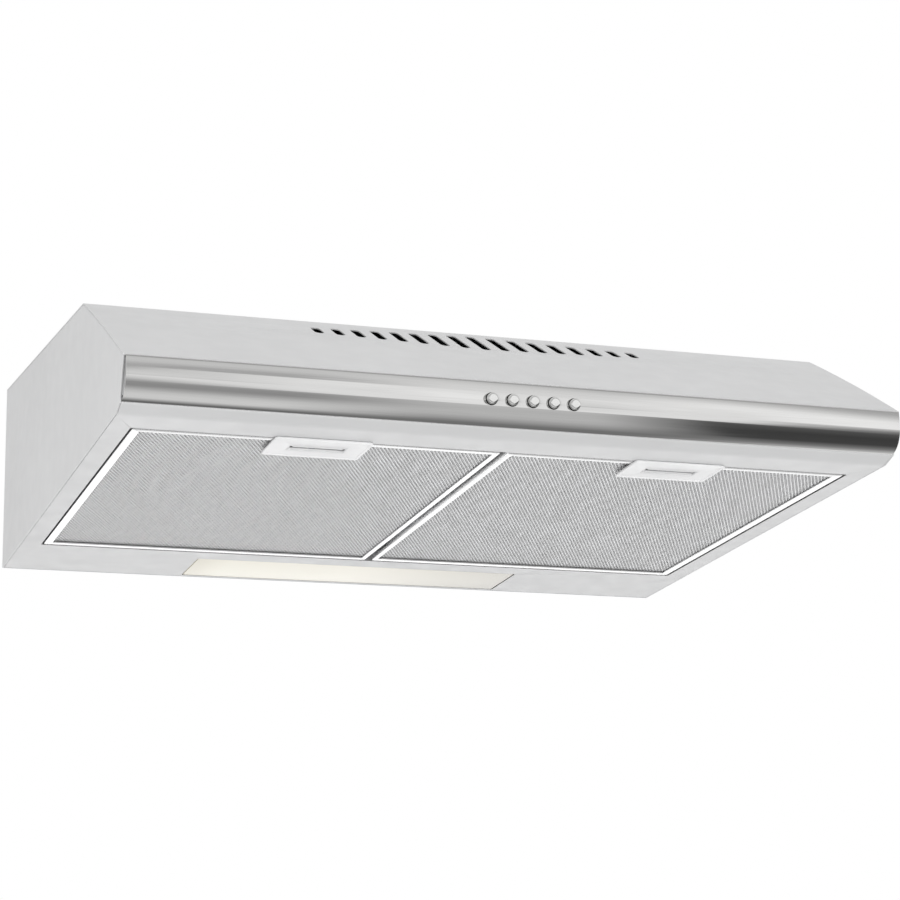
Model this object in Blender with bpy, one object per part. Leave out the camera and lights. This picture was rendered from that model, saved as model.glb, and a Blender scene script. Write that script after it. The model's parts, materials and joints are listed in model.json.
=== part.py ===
"""Under cabinet range hood, built as its separate pieces.

Frame: +X to the right, +Y towards the wall, +Z up. The origin is on the top face, which meets the
cabinet, at the middle of the width and half way between the wall face and the front strip. Metres.
"""

import math

import bmesh
import bpy
from mathutils import Matrix, Vector

# Overall size
HALF_WIDTH = 0.299
WALL_Y = 0.242
SHEET = 0.001  # painted steel
GAP = 0.0003  # left between pieces that touch

# Side profile, as (y, z): the top's front bend, the nose above the strip, and the lip below it
BEND_Y = -0.092
BEND_RADIUS = 0.014
NOSE = (-0.238, -0.069)
LIP_TOP = (-0.229, -0.1015)
LIP = (-0.216, -0.107)
REAR_Z = -0.155
FRONT_FLANGE = ((-0.2372, -0.0690), (-0.2342, -0.0716), (-0.2300, -0.0965))  # (y, z), behind the strip
SLOPE_BULGE = 0.0012  # how far the front slope stands out of a straight line

# The underside's own axes: u runs back from the lip along the slope, w is up and square to it
UNDERSIDE_TILT = math.atan2(LIP[1] - REAR_Z, WALL_Y - LIP[0])
UNDERSIDE_LENGTH = math.hypot(LIP[1] - REAR_Z, WALL_Y - LIP[0])

# Side panels and their inward flanges
FLANGE_DEPTH = 0.013
INSIDE = HALF_WIDTH - SHEET - GAP

# Keyholes in the back panel
KEYHOLE_X = 0.2
KEYHOLE_Z = (-0.034, -0.022)  # middle of the head, top of the neck
KEYHOLE_HEAD_RADIUS = 0.0055
KEYHOLE_NECK_HALF = 0.0026

# Control strip
STRIP_SHEET = 0.0008
STRIP_TOP = (-0.2406, -0.0698)
STRIP_CREASE = (-0.242, -0.084)
STRIP_BELLY = (-0.2405, -0.0965)  # pulls the lower face outward
STRIP_FOOT = (-0.2298, -0.1010)

# Push buttons
BUTTON_NAMES = ("off", "speed_1", "speed_2", "speed_3", "light")
BUTTON_PITCH = 0.0159
BUTTON_RADIUS = 0.0042
BUTTON_Z = -0.0828
BUTTON_FRONT_Y = -0.2458
BUTTON_STEM_RADIUS = 0.0023
SWITCH_Y = (-0.2360, -0.2120)
SWITCH_HALF_HEIGHT = 0.0078

# Vent slots in the slope
SLOT_SIDE_COUNT = 8  # each side of the middle one
SLOT_PITCH = 0.016
SLOT_WIDTH = 0.0074
SLOT_MIDDLE_LENGTH = 0.049
SLOT_SHORTENING = 0.0036  # per slot away from the middle
SLOT_CENTRE_Y = -0.124

# Grease filters, in the underside's axes
FILTER_INNER_X = 0.003
FILTER_OUTER_X = 0.280
FILTER_U = (0.0322, 0.372)
FILTER_HEIGHT = 0.009
FILTER_BAND = 0.0065
FILTER_SHEET = 0.001
FILTER_CLEARANCE = 0.0018
MESH_HEIGHT = 0.0024
EDGE_FOLD = 0.008  # height of the folds round the underside's openings

# Filter latches
LATCH_X = 0.140
LATCH_PLATE = (0.074, 0.043)
LATCH_PLATE_U = 0.0268
LATCH_PLATE_SHEET = 0.0016
LATCH_RECESS = (0.042, 0.009)
LATCH_RECESS_U = 0.0447
LATCH_BOX_HALF = 0.0295
LATCH_BOX_U = (0.0432, 0.0662)
LATCH_WALL = 0.0015
TONGUE_HALF_WIDTH = 0.008
TONGUE_W = (0.0022, 0.0044)

# Lamp, in the underside's axes
LENS_HALF_X = 0.143
LENS_U = (0.396, 0.4545)
LENS_SHEET = 0.002
LENS_RIM = 0.006
LENS_CLEARANCE = 0.0010
LAMP_TRAY_W = (0.0085, 0.040)
BULB_RADIUS = 0.0125

# Duct outlet
OUTLET = (0.0, 0.100)
OUTLET_HOLE_RADIUS = 0.061
SPIGOT_RADIUS = 0.060
SPIGOT_HEIGHT = 0.027
SPIGOT_WALL = 0.0015
DAMPER_Z = 0.010
DAMPER_PIN_X = 0.0030  # from the middle to each flap's straight edge

# Electrical parts
CABLE_ENTRY = (0.215, 0.190)
CABLE_HOLE_RADIUS = 0.009
TERMINAL_BOX_HALF = (0.032, 0.026)
TERMINAL_BOX_HEIGHT = 0.030
CAPACITOR_PLACE = (0.145, 0.190)

# Blower, with its axis upright
BLOWER = (-0.165, 0.095)
BLOWER_ORIGIN = (*BLOWER, 0.0)
SCROLL_TOP_Z = -0.006
SCROLL_FOOT_Z = -0.086
SCROLL_RADIUS = (0.084, 0.106)
SCROLL_WALL = 0.002
MOUNT_RADIUS = 0.062
MOUNT_ANGLES = (80, 200, 320)
GUARD_RINGS = ((0.0590, 0.0640), (0.0400, 0.0425), (0.0200, 0.0225))  # inner and outer radius
MOUTH_Y = (-0.011, 0.036)
INLET_RADIUS = 0.055
IMPELLER_RADIUS = 0.074
IMPELLER_Z = (-0.0815, -0.020)
BLADE_COUNT = 24
MOTOR_RADIUS = 0.040
MOTOR_TOP_Z = SCROLL_TOP_Z - SCROLL_WALL - GAP
MOTOR_FOOT_Z = -0.050
CORE_Z = (-0.0180, -0.0420)  # top and foot of the stator and rotor
SHAFT_RADIUS = 0.004
BEARING_RADIUS = 0.0078

# Air box between the blower, the outlet and the front vents
BOX_X = (-0.0676, 0.072)
BOX_Y = (-0.016, 0.166)
BOX_Z = (-0.090, -0.006)
BOX_WALL = 0.0015
DUCT_FRONT_Y = (-0.1540, -0.0960)  # the vent duct's upper end, under the slots
DUCT_FRONT_HALF = 0.1365
DUCT_FRONT_Z = -0.0345  # at the first of those ends
DUCT_FRONT_SLOPE = 0.4914
FRONT_PORT = (0.0545, -0.060, -0.014)  # half width, low z, high z
FLAP_AXIS = (BOX_Y[0] + BOX_WALL + 0.0030, FRONT_PORT[1] - 0.0030)


# ---------------------------------------------------------------- outlines

def polar(centre, radius, angle):
    return (centre[0] + radius * math.cos(angle), centre[1] + radius * math.sin(angle))


def circle(centre, radius, count=32):
    return [polar(centre, radius, 2 * math.pi * i / count) for i in range(count)]


def rectangle(low, high):
    return [(low[0], low[1]), (high[0], low[1]), (high[0], high[1]), (low[0], high[1])]


def rounded_rectangle(low, high, radius, steps=4):
    corners = (
        ((high[0] - radius, high[1] - radius), 0),
        ((low[0] + radius, high[1] - radius), 1),
        ((low[0] + radius, low[1] + radius), 2),
        ((high[0] - radius, low[1] + radius), 3),
    )
    points = []
    for centre, quarter in corners:
        for i in range(steps + 1):
            points.append(polar(centre, radius, (quarter + i / steps) * math.pi / 2))
    return points


def rounded_corner(before, corner, after, radius, steps=5):
    """Points of the arc that rounds a corner of an outline."""
    corner = Vector(corner)
    to_before = (Vector(before) - corner).normalized()
    to_after = (Vector(after) - corner).normalized()
    half = to_before.angle(to_after) / 2
    start = corner + to_before * radius / math.tan(half)
    end = corner + to_after * radius / math.tan(half)
    centre = corner + (to_before + to_after).normalized() * radius / math.sin(half)
    first = start - centre
    last = end - centre
    turn = first.angle(last)
    points = []
    for i in range(steps + 1):
        t = i / steps
        arm = (first * math.sin((1 - t) * turn) + last * math.sin(t * turn)) / math.sin(turn)
        points.append(tuple(centre + arm))
    return points


def bulged(start, end, bulge, steps):
    """Points between two ends, without the ends, on a curve that stands out to the right of the line."""
    start = Vector(start)
    end = Vector(end)
    along = (end - start).normalized()
    outward = Vector((along.y, -along.x))
    points = []
    for i in range(1, steps):
        t = i / steps
        points.append(tuple(start.lerp(end, t) + outward * bulge * 4 * t * (1 - t)))
    return points


def bowed(start, pull, end, steps):
    """Points after the start, as far as the end, on a curve drawn towards a third point."""
    points = []
    for i in range(1, steps + 1):
        t = i / steps
        weights = ((1 - t) ** 2, 2 * t * (1 - t), t * t)
        places = zip(start, pull, end)
        points.append(tuple(sum(weight * at for weight, at in zip(weights, place)) for place in places))
    return points


def shifted_lines(points, distances, closed):
    """Moves each edge to its left by its distance, and meets the moved edges again."""
    count = len(points)
    edges = count if closed else count - 1
    lines = []
    for i in range(edges):
        start = Vector(points[i])
        along = (Vector(points[(i + 1) % count]) - start).normalized()
        left = Vector((-along.y, along.x))
        lines.append((start + left * distances[i], along))
    moved = []
    for i in range(count):
        before = lines[(i - 1) % edges] if closed or i > 0 else lines[0]
        after = lines[i % edges] if closed or i < edges else lines[-1]
        cross = before[1].x * after[1].y - before[1].y * after[1].x
        if abs(cross) < 1e-6:
            left = Vector((-after[1].y, after[1].x))
            base = Vector(points[i])
            moved.append(tuple(base + left * (after[0] - base).dot(left)))
            continue
        between = after[0] - before[0]
        along_before = (between.x * after[1].y - between.y * after[1].x) / cross
        moved.append(tuple(before[0] + before[1] * along_before))
    return moved


def inset(points, distance):
    """An outline that runs anticlockwise, made smaller all round."""
    return shifted_lines(points, [distance] * len(points), closed=True)


def sheet_outline(path, thickness):
    """The section of a folded sheet: a path, and the same path moved to its left."""
    other = shifted_lines(path, [thickness] * (len(path) - 1), closed=False)
    return list(path) + other[::-1]


def at_x(points, x):
    return [(x, p[0], p[1]) for p in points]


def at_y(points, y):
    return [(p[0], y, p[1]) for p in points]


def at_z(points, z):
    return [(p[0], p[1], z) for p in points]


# ---------------------------------------------------------------- objects

def new_material(name, colour, roughness, metallic):
    material = bpy.data.materials.new(name)
    material.use_nodes = True
    shader = material.node_tree.nodes["Principled BSDF"]
    shader.inputs["Base Color"].default_value = (*colour, 1.0)
    shader.inputs["Roughness"].default_value = roughness
    shader.inputs["Metallic"].default_value = metallic
    material.diffuse_color = (*colour, 1.0)
    return material


def object_from(name, work, material):
    bmesh.ops.recalc_face_normals(work, faces=work.faces)
    mesh = bpy.data.meshes.new(name)
    work.to_mesh(mesh)
    work.free()
    mesh.materials.append(material)
    mesh.shade_smooth()
    mesh.set_sharp_from_angle(angle=math.radians(30))
    thing = bpy.data.objects.new(name, mesh)
    bpy.context.collection.objects.link(thing)
    return thing


def loft(name, loops, material, ring=False):
    """Joins loops of equally many points. The ends are capped, or a ring's last loop joins its first."""
    work = bmesh.new()
    rows = [[work.verts.new(point) for point in loop] for loop in loops]
    pairs = list(zip(rows, rows[1:]))
    if ring:
        pairs.append((rows[-1], rows[0]))
    else:
        work.faces.new(rows[0])
        work.faces.new(rows[-1])
    count = len(rows[0])
    for lower, upper in pairs:
        for i in range(count):
            j = (i + 1) % count
            work.faces.new((lower[i], lower[j], upper[j], upper[i]))
    return object_from(name, work, material)


def block(name, low, high, material):
    flat = rectangle(low[:2], high[:2])
    return loft(name, [at_z(flat, low[2]), at_z(flat, high[2])], material)


def turned(name, profile, centre, material, count=32, along="Z"):
    """A turned solid from a profile of (radius, distance along the axis), which may close into a ring."""
    place = {"X": at_x, "Y": at_y, "Z": at_z}[along]
    ring = profile[0] == profile[-1]
    stations = profile[:-1] if ring else profile
    loops = [place(circle(centre, radius, count), distance) for radius, distance in stations]
    return loft(name, loops, material, ring)


def combine(target, tool, operation):
    """Applies a Boolean with the tool to the target, and removes the tool."""
    modifier = target.modifiers.new(operation.lower(), "BOOLEAN")
    modifier.operation = operation
    modifier.solver = "EXACT"
    modifier.object = tool
    bpy.context.view_layer.update()
    graph = bpy.context.evaluated_depsgraph_get()
    result = bpy.data.meshes.new_from_object(target.evaluated_get(graph))
    old = target.data
    target.modifiers.clear()
    target.data = result
    result.name = target.name
    bpy.data.meshes.remove(old)
    bpy.data.objects.remove(tool)
    return target


def cut(target, tool):
    return combine(target, tool, "DIFFERENCE")


def weld(target, piece):
    return combine(target, piece, "UNION")


def empty(name, location, tilt=0.0):
    thing = bpy.data.objects.new(name, None)
    thing.location = location
    thing.rotation_euler = (tilt, 0.0, 0.0)
    bpy.context.collection.objects.link(thing)
    return thing


def hang(thing, parent):
    """Parents a thing that was drawn in its parent's own axes."""
    thing.parent = parent
    return thing


def move_origin(thing, point):
    """Puts an object's origin at a point, such as one on its joint's axis, and leaves the shape in place."""
    thing.data.transform(Matrix.Translation(-Vector(point)))
    thing.location = point
    return thing


# ---------------------------------------------------------------- casing

def top_and_slope():
    """The outer line of the top and the slope, from the wall to the nose."""
    bend = (BEND_Y, 0.0)
    corner = rounded_corner((WALL_Y, 0.0), bend, NOSE, BEND_RADIUS)
    return [(WALL_Y, 0.0)] + corner + bulged(corner[-1], NOSE, SLOPE_BULGE, 6) + [NOSE]


def side_outline(back, top, front, lip, bottom):
    """The hood's side profile, anticlockwise, with each run moved inward by its distance."""
    upper = top_and_slope()
    points = [(WALL_Y, REAR_Z)] + upper + [LIP_TOP, LIP]
    distances = [back] + [top] * (len(upper) - 1) + [front, lip, bottom]
    return shifted_lines(points, distances, closed=True)


def slot_cutter(index, material):
    """A slot along the slope, with round ends."""
    length = SLOT_MIDDLE_LENGTH - SLOT_SHORTENING * abs(index)
    reach = (length - SLOT_WIDTH) / 2
    half = SLOT_WIDTH / 2
    outline = [polar((0, reach), half, math.pi * i / 6) for i in range(7)]
    outline += [polar((0, -reach), half, math.pi + math.pi * i / 6) for i in range(7)]
    tool = loft("slot_cutter", [at_z(outline, -0.006), at_z(outline, 0.006)], material)
    fall = math.atan2(-NOSE[1], BEND_Y - NOSE[0])
    centre_z = -(BEND_Y - SLOT_CENTRE_Y) * math.tan(fall)
    place = Matrix.Translation((index * SLOT_PITCH, SLOT_CENTRE_Y, centre_z))
    tool.matrix_world = place @ Matrix.Rotation(fall, 4, "X")
    return tool


def canopy_shell(paint):
    outline = sheet_outline(top_and_slope(), SHEET)
    shell = loft("canopy_shell", [at_x(outline, -HALF_WIDTH), at_x(outline, HALF_WIDTH)], paint)
    flange = sheet_outline(list(FRONT_FLANGE), SHEET)
    weld(shell, loft("front_flange", [at_x(flange, -INSIDE), at_x(flange, INSIDE)], paint))
    window = (2 * BUTTON_PITCH + 0.0085, -0.0935, -0.0724)
    cut(shell, block("window", (-window[0], -0.2365, window[1]), (window[0], -0.2255, window[2]), paint))
    duct_hole = [(OUTLET_HOLE_RADIUS, -0.01), (OUTLET_HOLE_RADIUS, 0.01)]
    cut(shell, turned("duct_hole", duct_hole, OUTLET, paint, 48))
    cable_hole = [(CABLE_HOLE_RADIUS, -0.01), (CABLE_HOLE_RADIUS, 0.01)]
    cut(shell, turned("cable_hole", cable_hole, CABLE_ENTRY, paint, 20))
    for index in range(-SLOT_SIDE_COUNT, SLOT_SIDE_COUNT + 1):
        cut(shell, slot_cutter(index, paint))
    return shell


def side_panel(side, paint):
    """A plate with a flange folded inward all round its edge."""
    sign = -1 if side == "left" else 1
    under = SHEET + GAP
    plate = side_outline(0, under, 0, 0, 0)
    flange = side_outline(under, under + 0.0002, 0.008, 0.004, under + 0.0001)
    inner = under + SHEET
    flange_inside = side_outline(inner, inner + 0.0002, 0.009, 0.005, inner + 0.0001)
    plate_x = HALF_WIDTH - SHEET
    edge_x = HALF_WIDTH - FLANGE_DEPTH
    loops = [
        at_x(plate, sign * HALF_WIDTH),
        at_x(plate, sign * plate_x),
        at_x(flange, sign * plate_x),
        at_x(flange, sign * edge_x),
        at_x(flange_inside, sign * edge_x),
        at_x(flange_inside, sign * plate_x),
    ]
    return loft("side_panel_" + side, loops, paint)


def back_panel(steel):
    low = (-INSIDE, WALL_Y - SHEET, REAR_Z)
    high = (INSIDE, WALL_Y, -SHEET - GAP)
    panel = block("back_panel", low, high, steel)
    near, far = WALL_Y - 0.01, WALL_Y + 0.01
    for x in (-KEYHOLE_X, KEYHOLE_X):
        head = [(KEYHOLE_HEAD_RADIUS, near), (KEYHOLE_HEAD_RADIUS, far)]
        cut(panel, turned("keyhole_head", head, (x, KEYHOLE_Z[0]), steel, 20, along="Y"))
        neck_low = (x - KEYHOLE_NECK_HALF, near, KEYHOLE_Z[0])
        neck_high = (x + KEYHOLE_NECK_HALF, far, KEYHOLE_Z[1])
        cut(panel, block("keyhole_neck", neck_low, neck_high, steel))
    return panel


def opening(work, low, high, steel):
    """Cuts an opening in the underside sheet and folds its edge up."""
    inner = rectangle(low, high)
    hole = inset(inner, -SHEET / 2)
    outer = inset(inner, -SHEET)
    cut(work, loft("hole", [at_z(hole, -0.01), at_z(hole, 0.01)], steel))
    fold = [at_z(outer, 0), at_z(outer, EDGE_FOLD), at_z(inner, EDGE_FOLD), at_z(inner, 0)]
    return weld(work, loft("fold", fold, steel, ring=True))


def underside_frame(datum, paint):
    """The lower sheet, with its rounded lip turned up behind the strip, and its openings."""
    turn = math.atan2(LIP_TOP[1] - LIP[1], LIP[0] - LIP_TOP[0]) - UNDERSIDE_TILT
    run = math.hypot(LIP_TOP[1] - LIP[1], LIP[0] - LIP_TOP[0])
    lip_top = (-run * math.cos(turn), run * math.sin(turn))
    upright = (lip_top[0] + 0.0020, lip_top[1] + 0.0085)
    end = (UNDERSIDE_LENGTH - SHEET - GAP, 0.0)
    path = [upright, lip_top]
    path += rounded_corner(lip_top, (0.0, 0.0), end, 0.009, 4) + [end]
    outline = sheet_outline(path, SHEET)
    sheet = loft("underside_frame", [at_x(outline, -INSIDE), at_x(outline, INSIDE)], paint)
    for half, (near, far), room in (
        (FILTER_OUTER_X, FILTER_U, FILTER_CLEARANCE), (LENS_HALF_X, LENS_U, LENS_CLEARANCE),
    ):
        opening(sheet, (-half - room, near - room), (half + room, far + room), paint)
    for x in (-LATCH_X, LATCH_X):
        low = (x - TONGUE_HALF_WIDTH - 0.002, FILTER_U[0] - 0.008, 0.0016)
        high = (x + TONGUE_HALF_WIDTH + 0.002, FILTER_U[0] - 0.0009, 0.0056)
        cut(sheet, block("latch_window", low, high, paint))
    return hang(sheet, datum)


def front_strip(steel):
    """The polished strip: a near-upright face above a curved one, with a fold at the top."""
    lower = bowed(STRIP_CREASE, STRIP_BELLY, STRIP_FOOT, 6)
    fold = (STRIP_TOP[0] + 0.0028, STRIP_TOP[1] - 0.0006)
    path = [fold, STRIP_TOP, STRIP_CREASE] + lower
    outline = sheet_outline(path, STRIP_SHEET)
    strip = loft("front_strip", [at_x(outline, -INSIDE), at_x(outline, INSIDE)], steel)
    for index in range(len(BUTTON_NAMES)):
        hole = [(BUTTON_RADIUS + 0.0005, -0.250), (BUTTON_RADIUS + 0.0005, -0.2362)]
        cut(strip, turned("button_hole", hole, (button_x(index), BUTTON_Z), steel, 24, along="Y"))
    return strip


def centre_rail(datum, steel):
    """The bar above the gap between the filters."""
    path = [(-0.016, 0.0165), (-0.016, 0.0105), (0.016, 0.0105), (0.016, 0.0165)]
    outline = sheet_outline(path, SHEET)
    rail = loft("centre_rail", [at_y(outline, 0.034), at_y(outline, 0.376)], steel)
    return hang(rail, datum)


# ---------------------------------------------------------------- controls

def button_x(index):
    return (index - (len(BUTTON_NAMES) - 1) / 2) * BUTTON_PITCH


def push_button(index, chrome):
    """A round button with its stem through the switch block, held by a collar at the back."""
    r = BUTTON_RADIUS
    stem = BUTTON_STEM_RADIUS
    front = BUTTON_FRONT_Y
    shoulder = front + 0.0058
    collar = SWITCH_Y[1] + GAP
    profile = [
        (r - 0.0017, front), (r - 0.0009, front + 0.0003), (r - 0.0003, front + 0.0009),
        (r, front + 0.0018), (r, shoulder), (stem, shoulder), (stem, collar),
        (stem + 0.0011, collar), (stem + 0.0011, collar + 0.0015),
    ]
    x = button_x(index)
    button = turned("button_" + BUTTON_NAMES[index], profile, (x, BUTTON_Z), chrome, 20, along="Y")
    return move_origin(button, (x, front, BUTTON_Z))


def switch_block(plastic):
    half = 2 * BUTTON_PITCH + 0.0075
    low = (-half, SWITCH_Y[0], BUTTON_Z - SWITCH_HALF_HEIGHT)
    high = (half, SWITCH_Y[1], BUTTON_Z + SWITCH_HALF_HEIGHT)
    housing = block("switch_block", low, high, plastic)
    stem = BUTTON_STEM_RADIUS + GAP
    head = BUTTON_RADIUS + 0.0006
    step = SWITCH_Y[0] + 0.0070
    for index in range(len(BUTTON_NAMES)):
        profile = [(stem, -0.20), (stem, step), (head, step), (head, -0.25)]
        cut(housing, turned("guide", profile, (button_x(index), BUTTON_Z), plastic, 20, along="Y"))
    return housing


def switch_bracket(steel):
    """An angle that carries the switch block's rear foot from the canopy flange."""
    foot = BUTTON_Z - SWITCH_HALF_HEIGHT - SHEET - GAP
    path = [(-0.2288, foot), (-0.2060, foot), (-0.2060, foot + 0.0133)]
    outline = sheet_outline(path, SHEET)
    return loft("switch_bracket", [at_x(outline, -0.030), at_x(outline, 0.030)], steel)


# ---------------------------------------------------------------- filters

def filter_pieces(side, datum, aluminium, mesh_metal, plastic, steel):
    """A filter's frame and mesh, and its latch, drawn in the underside's axes.

    They all swing about the frame's rear edge, so that is where their origins go.
    """
    sign = -1 if side == "left" else 1
    xs = sorted((sign * FILTER_INNER_X, sign * FILTER_OUTER_X))
    outer = rectangle((xs[0], FILTER_U[0]), (xs[1], FILTER_U[1]))
    lip = inset(outer, FILTER_BAND)
    web = inset(outer, FILTER_SHEET)
    top = FILTER_HEIGHT
    loops = [
        at_z(outer, 0), at_z(outer, top), at_z(lip, top), at_z(lip, top - FILTER_SHEET),
        at_z(web, top - FILTER_SHEET), at_z(web, FILTER_SHEET), at_z(lip, FILTER_SHEET), at_z(lip, 0),
    ]
    frame = loft("filter_frame_" + side, loops, aluminium, ring=True)
    pad = inset(outer, FILTER_SHEET + GAP)
    pad_low = FILTER_SHEET + GAP
    mesh = loft("filter_mesh_" + side, [at_z(pad, pad_low), at_z(pad, pad_low + MESH_HEIGHT)], mesh_metal)

    x = sign * LATCH_X
    front = FILTER_U[0]
    tongue = TONGUE_HALF_WIDTH
    slot_low = (x - tongue - 0.0015, front - 0.002, TONGUE_W[0] - 0.0006)
    slot_high = (x + tongue + 0.0015, front + 0.002, TONGUE_W[1] + 0.0006)
    cut(frame, block("tongue_slot", slot_low, slot_high, aluminium))
    box_low = (x - LATCH_BOX_HALF, LATCH_BOX_U[0])
    box_high = (x + LATCH_BOX_HALF, LATCH_BOX_U[1])
    pocket = at_z(inset(rectangle(box_low, box_high), -GAP), 0)
    cut(mesh, block("latch_pocket", pocket[0], (pocket[2][0], pocket[2][1], 0.02), steel))
    channel_low = (x - tongue - GAP, front, 0)
    channel_high = (x + tongue + GAP, box_low[1] + 0.001, 0.02)
    cut(mesh, block("tongue_channel", channel_low, channel_high, steel))

    plate_half = LATCH_PLATE[0] / 2
    plate_far = LATCH_PLATE_U + LATCH_PLATE[1]
    plate = rounded_rectangle((x - plate_half, LATCH_PLATE_U), (x + plate_half, plate_far), 0.003)
    plate_loops = [at_z(plate, -GAP - LATCH_PLATE_SHEET), at_z(plate, -GAP)]
    housing = loft("latch_housing_" + side, plate_loops, plastic)
    wall = LATCH_WALL
    cup = rectangle(box_low, box_high)
    cup_inside = inset(cup, wall)
    cup_loops = [at_z(cup, -0.001), at_z(cup, 0.0085), at_z(cup_inside, 0.0085), at_z(cup_inside, -0.001)]
    weld(housing, loft("latch_box", cup_loops, plastic, ring=True))
    recess_half = LATCH_RECESS[0] / 2
    recess_low = (x - recess_half, LATCH_RECESS_U, -0.01)
    recess_high = (x + recess_half, LATCH_RECESS_U + LATCH_RECESS[1], 0.0001)
    cut(housing, block("finger_recess", recess_low, recess_high, plastic))
    gate_low = (x - tongue - 0.001, box_low[1] - 0.001, TONGUE_W[0] - 0.0005)
    gate_high = (x + tongue + 0.001, box_low[1] + wall + 0.001, 0.02)
    cut(housing, block("tongue_gate", gate_low, gate_high, plastic))

    carriage = (box_low[1] + wall + 0.0005, box_low[1] + wall + 0.0070)
    carriage_low = (x - 0.0225, carriage[0], TONGUE_W[0] - 0.0015)
    slider = block("latch_slider_" + side, carriage_low, (x + 0.0225, carriage[1], 0.0070), plastic)
    tongue_low = (x - tongue, front - 0.0075, TONGUE_W[0])
    tongue_high = (x + tongue, carriage[0] + 0.002, TONGUE_W[1])
    weld(slider, block("tongue", tongue_low, tongue_high, plastic))
    spring = latch_spring(side, x, (carriage[1] + GAP, box_high[1] - wall - GAP), steel)
    hinge = (x, FILTER_U[1], 0.0)
    return [hang(move_origin(piece, hinge), datum) for piece in (frame, mesh, housing, slider, spring)]


def latch_spring(side, x, ends, steel):
    """A closed-end compression spring between the slider and its box, wound by a short helix."""
    turns, around = 4, 10
    radius, wire, axis_w = 0.0019, 0.0003, 0.0038
    work = bmesh.new()
    rows = []
    length = ends[1] - ends[0] - 2 * wire
    for i in range(turns * around + 1):
        angle = 2 * math.pi * i / around
        y = ends[0] + wire + length * i / (turns * around)
        row = []
        for k in range(5):
            turn = 2 * math.pi * k / 5
            out = radius + wire * math.cos(turn)
            place = (x + out * math.cos(angle), y + wire * math.sin(turn), axis_w + out * math.sin(angle))
            row.append(work.verts.new(place))
        rows.append(row)
    for lower, upper in zip(rows, rows[1:]):
        for k in range(5):
            j = (k + 1) % 5
            work.faces.new((lower[k], lower[j], upper[j], upper[k]))
    work.faces.new(rows[0])
    work.faces.new(rows[-1])
    return object_from("latch_spring_" + side, work, steel)


# ---------------------------------------------------------------- lamp

def lamp_pieces(datum, lens_plastic, steel, plastic, glass):
    """The lamp's cover, which swings about its rear edge, and the tray, holder and bulb above it."""
    u0, u1 = LENS_U
    flat = rectangle((-LENS_HALF_X, u0), (LENS_HALF_X, u1))
    inside = inset(flat, 0.0015)
    loops = [at_z(flat, 0), at_z(flat, LENS_RIM), at_z(inside, LENS_RIM), at_z(inside, LENS_SHEET)]
    cover = loft("lamp_cover", loops, lens_plastic)

    low, high = LAMP_TRAY_W
    mouth = rectangle((-LENS_HALF_X - 0.004, u0 - 0.004), (LENS_HALF_X + 0.004, u1 + 0.0028))
    crown = inset(mouth, 0.004)
    hollow_mouth = at_z(inset(mouth, SHEET), low)
    hollow_crown = at_z(inset(crown, SHEET), high - SHEET)
    tray = loft("lamp_tray", [at_z(crown, high), at_z(mouth, low), hollow_mouth, hollow_crown], steel)

    axis = ((u0 + u1) / 2, 0.0235)
    left = -LENS_HALF_X + 0.0055
    socket = [(0.0135, left), (0.0135, left + 0.028), (0.0118, left + 0.028), (0.0118, left + 0.008)]
    holder = turned("lamp_holder", socket, axis, plastic, 24, along="X")
    start = left + 0.0083
    cap = [(0.0100, start), (0.0100, start + 0.024), (BULB_RADIUS - 0.002, start + 0.029)]
    dome_centre = start + 0.075
    for i in range(5):
        angle = math.pi / 2 * i / 4
        reach = max(math.cos(angle), 0.08)
        cap.append((BULB_RADIUS * reach, dome_centre + BULB_RADIUS * math.sin(angle)))
    bulb = turned("lamp_bulb", cap, axis, glass, 24, along="X")
    move_origin(cover, (0.0, u1, 0.0))
    return [hang(piece, datum) for piece in (cover, tray, holder, bulb)]


# ---------------------------------------------------------------- blower

def scroll_outline(extra=0.0):
    """A spiral from the cut-off round to the mouth, which faces the air box. It runs anticlockwise."""
    steps = 28
    start = -math.pi / 4
    span = 7 * math.pi / 4
    growth = SCROLL_RADIUS[1] - SCROLL_RADIUS[0]
    points = []
    for i in range(steps + 1):
        angle = start + span * i / steps
        points.append(polar(BLOWER, SCROLL_RADIUS[0] + growth * i / steps + extra, angle))
    mouth_x = BOX_X[0] - GAP
    return points + [(mouth_x, MOUTH_Y[0] - extra), (mouth_x, MOUTH_Y[1] + extra)]


def scroll_housing(plastic):
    outer = scroll_outline(SCROLL_WALL)
    inner = scroll_outline()
    inner[-2] = (inner[-2][0] - SCROLL_WALL, inner[-2][1])
    inner[-1] = (inner[-1][0] - SCROLL_WALL, inner[-1][1])
    loops = [
        at_z(outer, SCROLL_TOP_Z), at_z(outer, SCROLL_FOOT_Z), at_z(inner, SCROLL_FOOT_Z),
        at_z(inner, SCROLL_TOP_Z - SCROLL_WALL),
    ]
    housing = loft("scroll_housing", loops, plastic)
    low = (BOX_X[0] - 0.006, MOUTH_Y[0] + 0.002, SCROLL_FOOT_Z + 0.004)
    high = (BOX_X[0] + 0.006, MOUTH_Y[1] - 0.002, SCROLL_TOP_Z - 0.008)
    cut(housing, block("mouth", low, high, plastic))
    for place in blower_mounts():
        cut(housing, turned("screw_hole", [(0.0023, -0.02), (0.0023, 0)], place, plastic, 12))
    return housing


def blower_mounts():
    return [polar(BLOWER, MOUNT_RADIUS, math.radians(angle)) for angle in MOUNT_ANGLES]


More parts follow.
